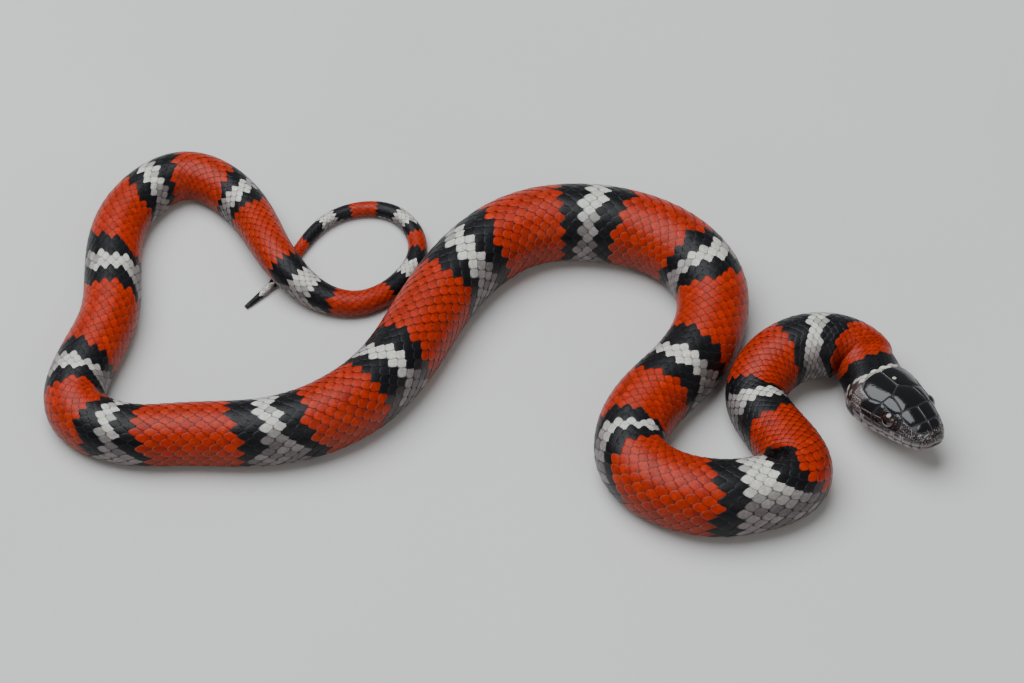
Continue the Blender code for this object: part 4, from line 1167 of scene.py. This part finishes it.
def upper_lip_tint(points):
    """Dark brown above, pale along the lip and in bars up some of the seams."""
    around = np.abs(points[:, 1])
    pale_from, pale_to = (
        np.array([-side(back, mouth(back) + above)[1] for back in points[:, 0]]) for above in (1.6, 0.15)
    )
    bar = sum(1.0 - ease(np.abs(points[:, 0] - seam), 0.15, 0.65) for seam in BARRED_SEAMS)
    pale = np.maximum(ease(around, pale_from, pale_to) * 0.9, bar * 0.9)
    return toned((0.022, 0.013, 0.011), (0.34, 0.31, 0.31), np.clip(pale, 0.0, 1.0))


for n, (start, end) in enumerate(zip(UPPER_LIP, UPPER_LIP[1:])):
    middle = (start + end) / 2.0
    lower = [side(b, mouth(b) + LIP_GAP) for b in (start, middle, end)]
    upper = [side(end, UPPER_TOP[n + 1]), side(start, UPPER_TOP[n])]
    crown.add_pair(lower + upper, upper_lip_tint, 0.45, EYE_HOLE)
LOWER_LIP = (1.1, 2.6, 4.4, 6.3, 8.3, 10.4, 12.5, 14.4, 16.6)
LOWER_LIP_HEIGHT = 1.3


def lower_lip_tint(points):
    """Pale, with brown seams."""
    seam = np.min([np.abs(points[:, 0] - bound) for bound in LOWER_LIP], axis=0)
    return toned((0.27, 0.22, 0.21), (0.07, 0.045, 0.04), 0.8 * (1.0 - ease(seam, 0.15, 0.5)))


for start, end in zip(LOWER_LIP, LOWER_LIP[1:]):
    middle = (start + end) / 2.0
    upper = [side(b, mouth(b) - LIP_GAP) for b in (end, middle, start)]
    lower = [side(b, mouth(b) - LIP_GAP - LOWER_LIP_HEIGHT) for b in (start, end)]
    crown.add_pair(upper + lower, lower_lip_tint, 0.2)
for turn in (1.0, -1.0):
    nostril = (nostril_spot[0], nostril_spot[1] * turn)
    crown.add_rim((eye_spot[0], eye_spot[1] * turn), 1.50, 0.17, 0.10, (0.012, 0.008, 0.008))
    crown.add_rim(nostril, 0.36, 0.09, 0.10, (0.02, 0.015, 0.014))
    # A near-black disc fills each nostril: painted shade inside the opening
    crown.add_dot(nostril, ((0.34, -0.20), (0.34, 0.00), (0.15, 0.01)), (0.001, 0.001, 0.001))
# A small round cream mark stands beside the middle seam, on the left of the crown
crown.add_dot((14.8, -1.0), ((0.42, 0.10), (0.42, 0.19), (0.34, 0.215), (0.18, 0.225)), (0.55, 0.52, 0.42))

sheet_tree, sheet_names = laid_sheet_tree()
head_finish = plate_finish("polished plates", 0.13)
head_plates = made_real(crown.mesh("head_sheet"), sheet_tree, sheet_names, {
    "Skin": skin, "Flat map": "back", "Finish": head_finish,
}, "head_plates")
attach(head_plates, "root")

# Tip of the snout
# One plate caps the snout above the mouth, and a smaller one the front of the chin. Each is a thin, curved
# piece of horn that closes the rows of lip plates at the front.
CAP_LIFT, CAP_DEPTH = 0.15, 0.20
CAP_COLUMNS = 25
# Rings of a cap from its middle, up to 1 over the blunt end and up to 2 back along the snout
CAP_RINGS = (0.0, 0.35, 0.7, 1.0, 1.02, 1.1, 1.3, 1.6, 2.0)
# A place inside the snout, in head measures, away from which the outer side of a cap faces
CAP_CORE = np.array((-3.0, 0.0, 3.2))
# The caps are brown, and pale towards the mouth
CAP_TONES = (0.02, 0.014, 0.012), (0.24, 0.20, 0.19)


def cap_grid(above, last):
    """Places of a cap's rings in head measures."""
    rows = []
    centre = mouth(0.0) + (0.5 if above else -0.25)
    for share in CAP_RINGS:
        back = 0.0 if share <= 1.0 else last * (share - 1.0)
        girth, arc, aside, up = head_outline(back)
        lip = float(np.interp(mouth(back) + (LIP_GAP if above else -LIP_GAP), up, arc))
        reach = (girth - lip) if above else lip
        along = np.linspace(-reach, reach, CAP_COLUMNS)
        spot = girth - np.abs(along) if above else np.abs(along)
        inner = min(share, 1.0)
        x = np.full(CAP_COLUMNS, 0.12 * (1.0 - inner ** 2) - back)
        y = np.interp(spot, arc, aside) * np.sign(along)
        z = np.interp(spot, arc, up)
        rows.append(np.stack((x, y * inner, centre + (z - centre) * inner), axis=1))
    return np.array(rows)


def cap_plate(name, above, last):
    """A curved plate over the blunt end, above or below the lips, back to a distance from the snout."""
    world = SNOUT_PLACE + cap_grid(above, last) @ HEAD_AXES
    normal = unit(np.cross(np.gradient(world, axis=1), np.gradient(world, axis=0)))
    normal[0] = unit(normal[1].mean(axis=0))
    outwards = world - (SNOUT_PLACE + CAP_CORE @ HEAD_AXES)
    normal *= np.sign((normal * outwards).sum(axis=-1, keepdims=True))
    edge = np.ones(world.shape[:2])
    edge[-1] = edge[:, 0] = edge[:, -1] = 0.35
    upper = world + normal * (CAP_LIFT * edge)[..., None]
    lower = world - normal * CAP_DEPTH
    index = np.arange(edge.size).reshape(edge.shape)
    cells = corners_of(index)
    sides = np.stack((cells, cells[:, [0, 3, 2, 1]] + edge.size), axis=1).reshape(-1, 4)
    rim = np.concatenate((index[:, 0], index[-1, 1:], index[-2::-1, -1], index[0, -2:0:-1]))
    walls = np.stack((rim, rim + edge.size, np.roll(rim, -1) + edge.size, np.roll(rim, -1)), axis=-1)
    points = np.concatenate((upper.reshape(-1, 3), lower.reshape(-1, 3))) * MM
    mesh = mesh_of(name, points, [*sides, *walls])
    face_outwards(mesh, merged=True)

    local = (np.array([v.co for v in mesh.vertices]) / MM - SNOUT_PLACE) @ HEAD_AXES.T
    pale = ease(np.abs(local[:, 2] - mouth(0.0)), 1.2, 0.2) if above else np.full(len(local), 0.9)
    add_attribute(mesh, "tint", with_alpha(toned(*CAP_TONES, pale)))
    add_attribute(mesh, "rim", np.zeros(len(local)))
    add_attribute(mesh, "fleck", np.full(len(local), 0.6 if above else 0.25))
    centres = np.array([p.center for p in mesh.polygons]) / MM - SNOUT_PLACE
    normals = np.array([p.normal for p in mesh.polygons])
    inner_side = (normals * (centres - CAP_CORE @ HEAD_AXES)).sum(axis=1) < 0.0
    inner_side = np.repeat(inner_side, [p.loop_total for p in mesh.polygons])
    rise = local[:, 2] - CAP_CORE[2]
    angle = np.arctan2(local[:, 1], rise * (1.0 if above else -1.0)) / math.pi
    depth = 0.2 - local[:, 0] + np.hypot(local[:, 1], rise)
    corner = np.zeros(len(mesh.loops), np.int32)
    mesh.loops.foreach_get("vertex_index", corner)
    unwrap = np.stack((0.25 + 0.22 * angle[corner] + 0.5 * inner_side, 0.02 + 0.15 * depth[corner]), axis=1)
    add_attribute(mesh, "OFBake", unwrap)
    mesh.shade_smooth()
    mesh.materials.append(head_finish)
    cap = new_piece(name, mesh)
    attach(cap, "root")


cap_plate("snout_plate", True, 0.95)
cap_plate("chin_plate", False, 1.1)

# Scales of the throat
# Two pairs of long shields lie behind the chin's front plate, and small scales fill the throat between
# them, the lower lips and the first scute of the belly. All are pale and pinkish.
CHIN_SHIELDS = ((2.6, 7.0), (7.0, 11.0))
CHIN_SHIELD_HALF = 2.1
THROAT_PITCH, THROAT_ROWS = 1.5, 1.15
THROAT_PINK = np.array((0.30, 0.24, 0.225))
THROAT_PATCH = (0.022, 0.022, 0.0)


def lip_reach(back):
    """Distance round from the middle of the chin to the lower edge of the lower lip's plates."""
    girth, arc, _, up = head_outline(back)
    return float(np.interp(mouth(back) - LIP_GAP - LOWER_LIP_HEIGHT, up, arc))


chin = PlateSheet()
for start, end in CHIN_SHIELDS:
    wide = min(CHIN_SHIELD_HALF, lip_reach(start) - 0.3)
    chin.add_pair([(start, 0.0), (end, 0.0), (end - 0.2, CHIN_SHIELD_HALF), (start + 0.4, wide)],
                  (0.30, 0.25, 0.235), 0.1)
chin_shields = made_real(chin.mesh("chin_sheet"), sheet_tree, sheet_names, {
    "Skin": skin, "Flat map": "belly", "Finish": head_finish,
}, "chin_shields")
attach(chin_shields, "root")


def throat_lattice():
    """Flat places of the throat's scales, in staggered rows, clear of the shields and of the lips."""
    found = []
    for row in range(-7, 8):
        s = np.arange(2.4, 21.2, THROAT_PITCH) + (THROAT_PITCH / 2.0 if row % 2 else 0.0)
        across = row * THROAT_ROWS
        reach = np.array([lip_reach(b) - 0.25 if b < 16.4 else 0.31 * float(girth_at(b)) for b in s])
        keep = np.abs(across) < reach
        keep &= (s > 12.0) | (np.abs(across) > CHIN_SHIELD_HALF + 0.4)
        keep &= s < np.where(np.abs(across) < 5.5, 20.2, 18.6)
        found.append(np.stack((s[keep], np.full(keep.sum(), across)), axis=1))
    return np.concatenate(found)


s, across = throat_lattice().T
throat_scale = single_scale("one throat scale", back_scale_width, 4, 5, 0.1)
tint = THROAT_PINK * chance.normal(1.0, 0.08, len(s))[:, None]
sizes = np.tile((THROAT_PITCH, THROAT_ROWS * 1.05, 0.22), (len(s), 1))
home = np.stack((s / 24.0, 0.5 + across / 20.0, s * 0.0), axis=1)
none = s * 0.0
throat_bed = flat_bed("throat_bed", s, across, sizes, none, tint, tint * 0.6, none, home, THROAT_PATCH)
throat_scales = made_real(throat_bed, rows_tree, rows_names, {
    "Scale": throat_scale, "Skin": skin, "Flat map": "belly", "Finish": belly_finish,
}, "throat_scales")
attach(throat_scales, "root")
bpy.data.objects.remove(throat_scale)
for spare_map in ("back", "belly"):
    skin.data.attributes.remove(skin.data.attributes[spare_map])

# Eyes
# Each is a clear, glossy dome that cannot blink, with a large round pupil and a dark reddish iris. It is
# a ball that sits in the head and shows between the plates round it.
EYE_RADIUS = 1.85
EYE_LOOK = (0.22, 1.0, 0.30)
# Outer edges of the pupil and of the iris, as angles off the middle of the look
PUPIL, IRIS = 0.54, 0.72


def make_eye(name, turn):
    """A ball that looks to the left (turn 1) or to the right (turn -1), a little ahead and up."""
    middle = SNOUT_PLACE + np.array(EYE_MIDDLE) * (1.0, turn, 1.0) @ HEAD_AXES
    look = unit(np.array(EYE_LOOK) * (1.0, turn, 1.0) @ HEAD_AXES)
    bm = bmesh.new()
    bmesh.ops.create_uvsphere(bm, u_segments=48, v_segments=32, radius=EYE_RADIUS * MM)
    turned = Vector(look).to_track_quat("Z", "Y").to_matrix().to_4x4()
    bmesh.ops.transform(bm, matrix=turned, verts=bm.verts)
    offsets = np.array([v.co for v in bm.verts])
    bmesh.ops.translate(bm, vec=Vector(middle) * MM, verts=bm.verts)
    mesh = bpy.data.meshes.new(name)
    bm.to_mesh(mesh)
    bm.free()
    off_axis = np.arccos(np.clip(unit(offsets) @ look, -1.0, 1.0))
    add_attribute(mesh, "off_axis", off_axis)
    mesh.shade_smooth()
    return new_piece(name, mesh)


def eye_finish():
    """Rings of colour round the middle of the look, under a clear coat."""
    finish, tree, shader = new_finish("eye")
    ring = node(tree, "ShaderNodeValToRGB")
    give(tree, ring, {0: attribute(tree, "off_axis", "Fac")})
    stops = ring.color_ramp.elements
    stops[0].position, stops[0].color = PUPIL - 0.02, (0.002, 0.002, 0.002, 1.0)
    stops[1].position, stops[1].color = PUPIL + 0.03, (0.095, 0.015, 0.006, 1.0)
    for position, colour in ((IRIS, (0.045, 0.010, 0.006, 1.0)), (IRIS + 0.08, (0.004, 0.004, 0.004, 1.0))):
        stops.new(position).color = colour
    flecked = blended(tree, cloudy(tree, 6000.0), (0.6, 0.6, 0.6, 1.0), (1.5, 1.3, 1.2, 1.0))
    give(tree, shader, {
        "Base Color": blended(tree, 1.0, ring.outputs[0], flecked, "MULTIPLY"), "Roughness": 0.10,
        "Coat Weight": 1.0, "Coat Roughness": 0.02,
    })
    return finish


eye_look = eye_finish()
for name, turn in (("eye_left", 1.0), ("eye_right", -1.0)):
    eye = make_eye(name + "_dome", turn)
    eye.data.materials.append(eye_look)
    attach(eye, "root")
    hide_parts(name)

# Floor, light and camera
# A plain pale floor, a large soft light overhead to the left, a weaker one from the front, and the camera
# at the photograph's angle, 50 degrees above the floor.


def make_floor():
    """A level floor, wide enough to fill the view."""
    mesh = mesh_of("floor", np.array(((-3, -3, 0), (3, -3, 0), (3, 3, 0), (-3, 3, 0))), [(0, 1, 2, 3)])
    floor = new_piece("floor", mesh)
    finish, tree, shader = new_finish("pale floor")
    tone = blended(tree, cloudy(tree, 6.0), (0.62, 0.61, 0.59, 1.0), (0.66, 0.65, 0.63, 1.0))
    give(tree, shader, {"Base Color": tone, "Roughness": 0.75})
    mesh.materials.append(finish)


def soft_light(name, place, size, power, colour):
    """A round, soft light that faces the middle of the model."""
    lamp = bpy.data.lights.new(name, "AREA")
    lamp.shape = "DISK"
    lamp.size = size
    lamp.energy = power
    lamp.color = colour
    thing = bpy.data.objects.new(name, lamp)
    thing.location = place
    thing.rotation_euler = (-Vector(place)).to_track_quat("-Z", "Y").to_euler()
    bpy.context.scene.collection.objects.link(thing)


make_floor()
soft_light("sky window", (-0.30, 0.18, 0.95), 1.1, 16.0, (0.92, 0.96, 1.0))
soft_light("front fill", (0.45, -0.7, 0.6), 0.6, 1.4, (1.0, 0.97, 0.93))
world = bpy.data.worlds.new("studio")
world.use_nodes = True
background = world.node_tree.nodes["Background"]
give(world.node_tree, background, {"Color": (0.90, 0.92, 0.95, 1.0), "Strength": 0.26})
bpy.context.scene.world = world

CAMERA_DISTANCE = 0.896
CAMERA_RISE = math.radians(50.0)
camera = bpy.data.cameras.new("camera")
camera.lens = 150.0
camera.sensor_width = 36.0
camera_thing = bpy.data.objects.new("camera", camera)
camera_thing.location = (
    ROUTE_PLACE[0] * MM,
    ROUTE_PLACE[1] * MM - CAMERA_DISTANCE * math.cos(CAMERA_RISE),
    CAMERA_DISTANCE * math.sin(CAMERA_RISE),
)
camera_thing.rotation_euler = (math.pi / 2.0 - CAMERA_RISE, 0.0, 0.0)
bpy.context.scene.collection.objects.link(camera_thing)
bpy.context.scene.camera = camera_thing
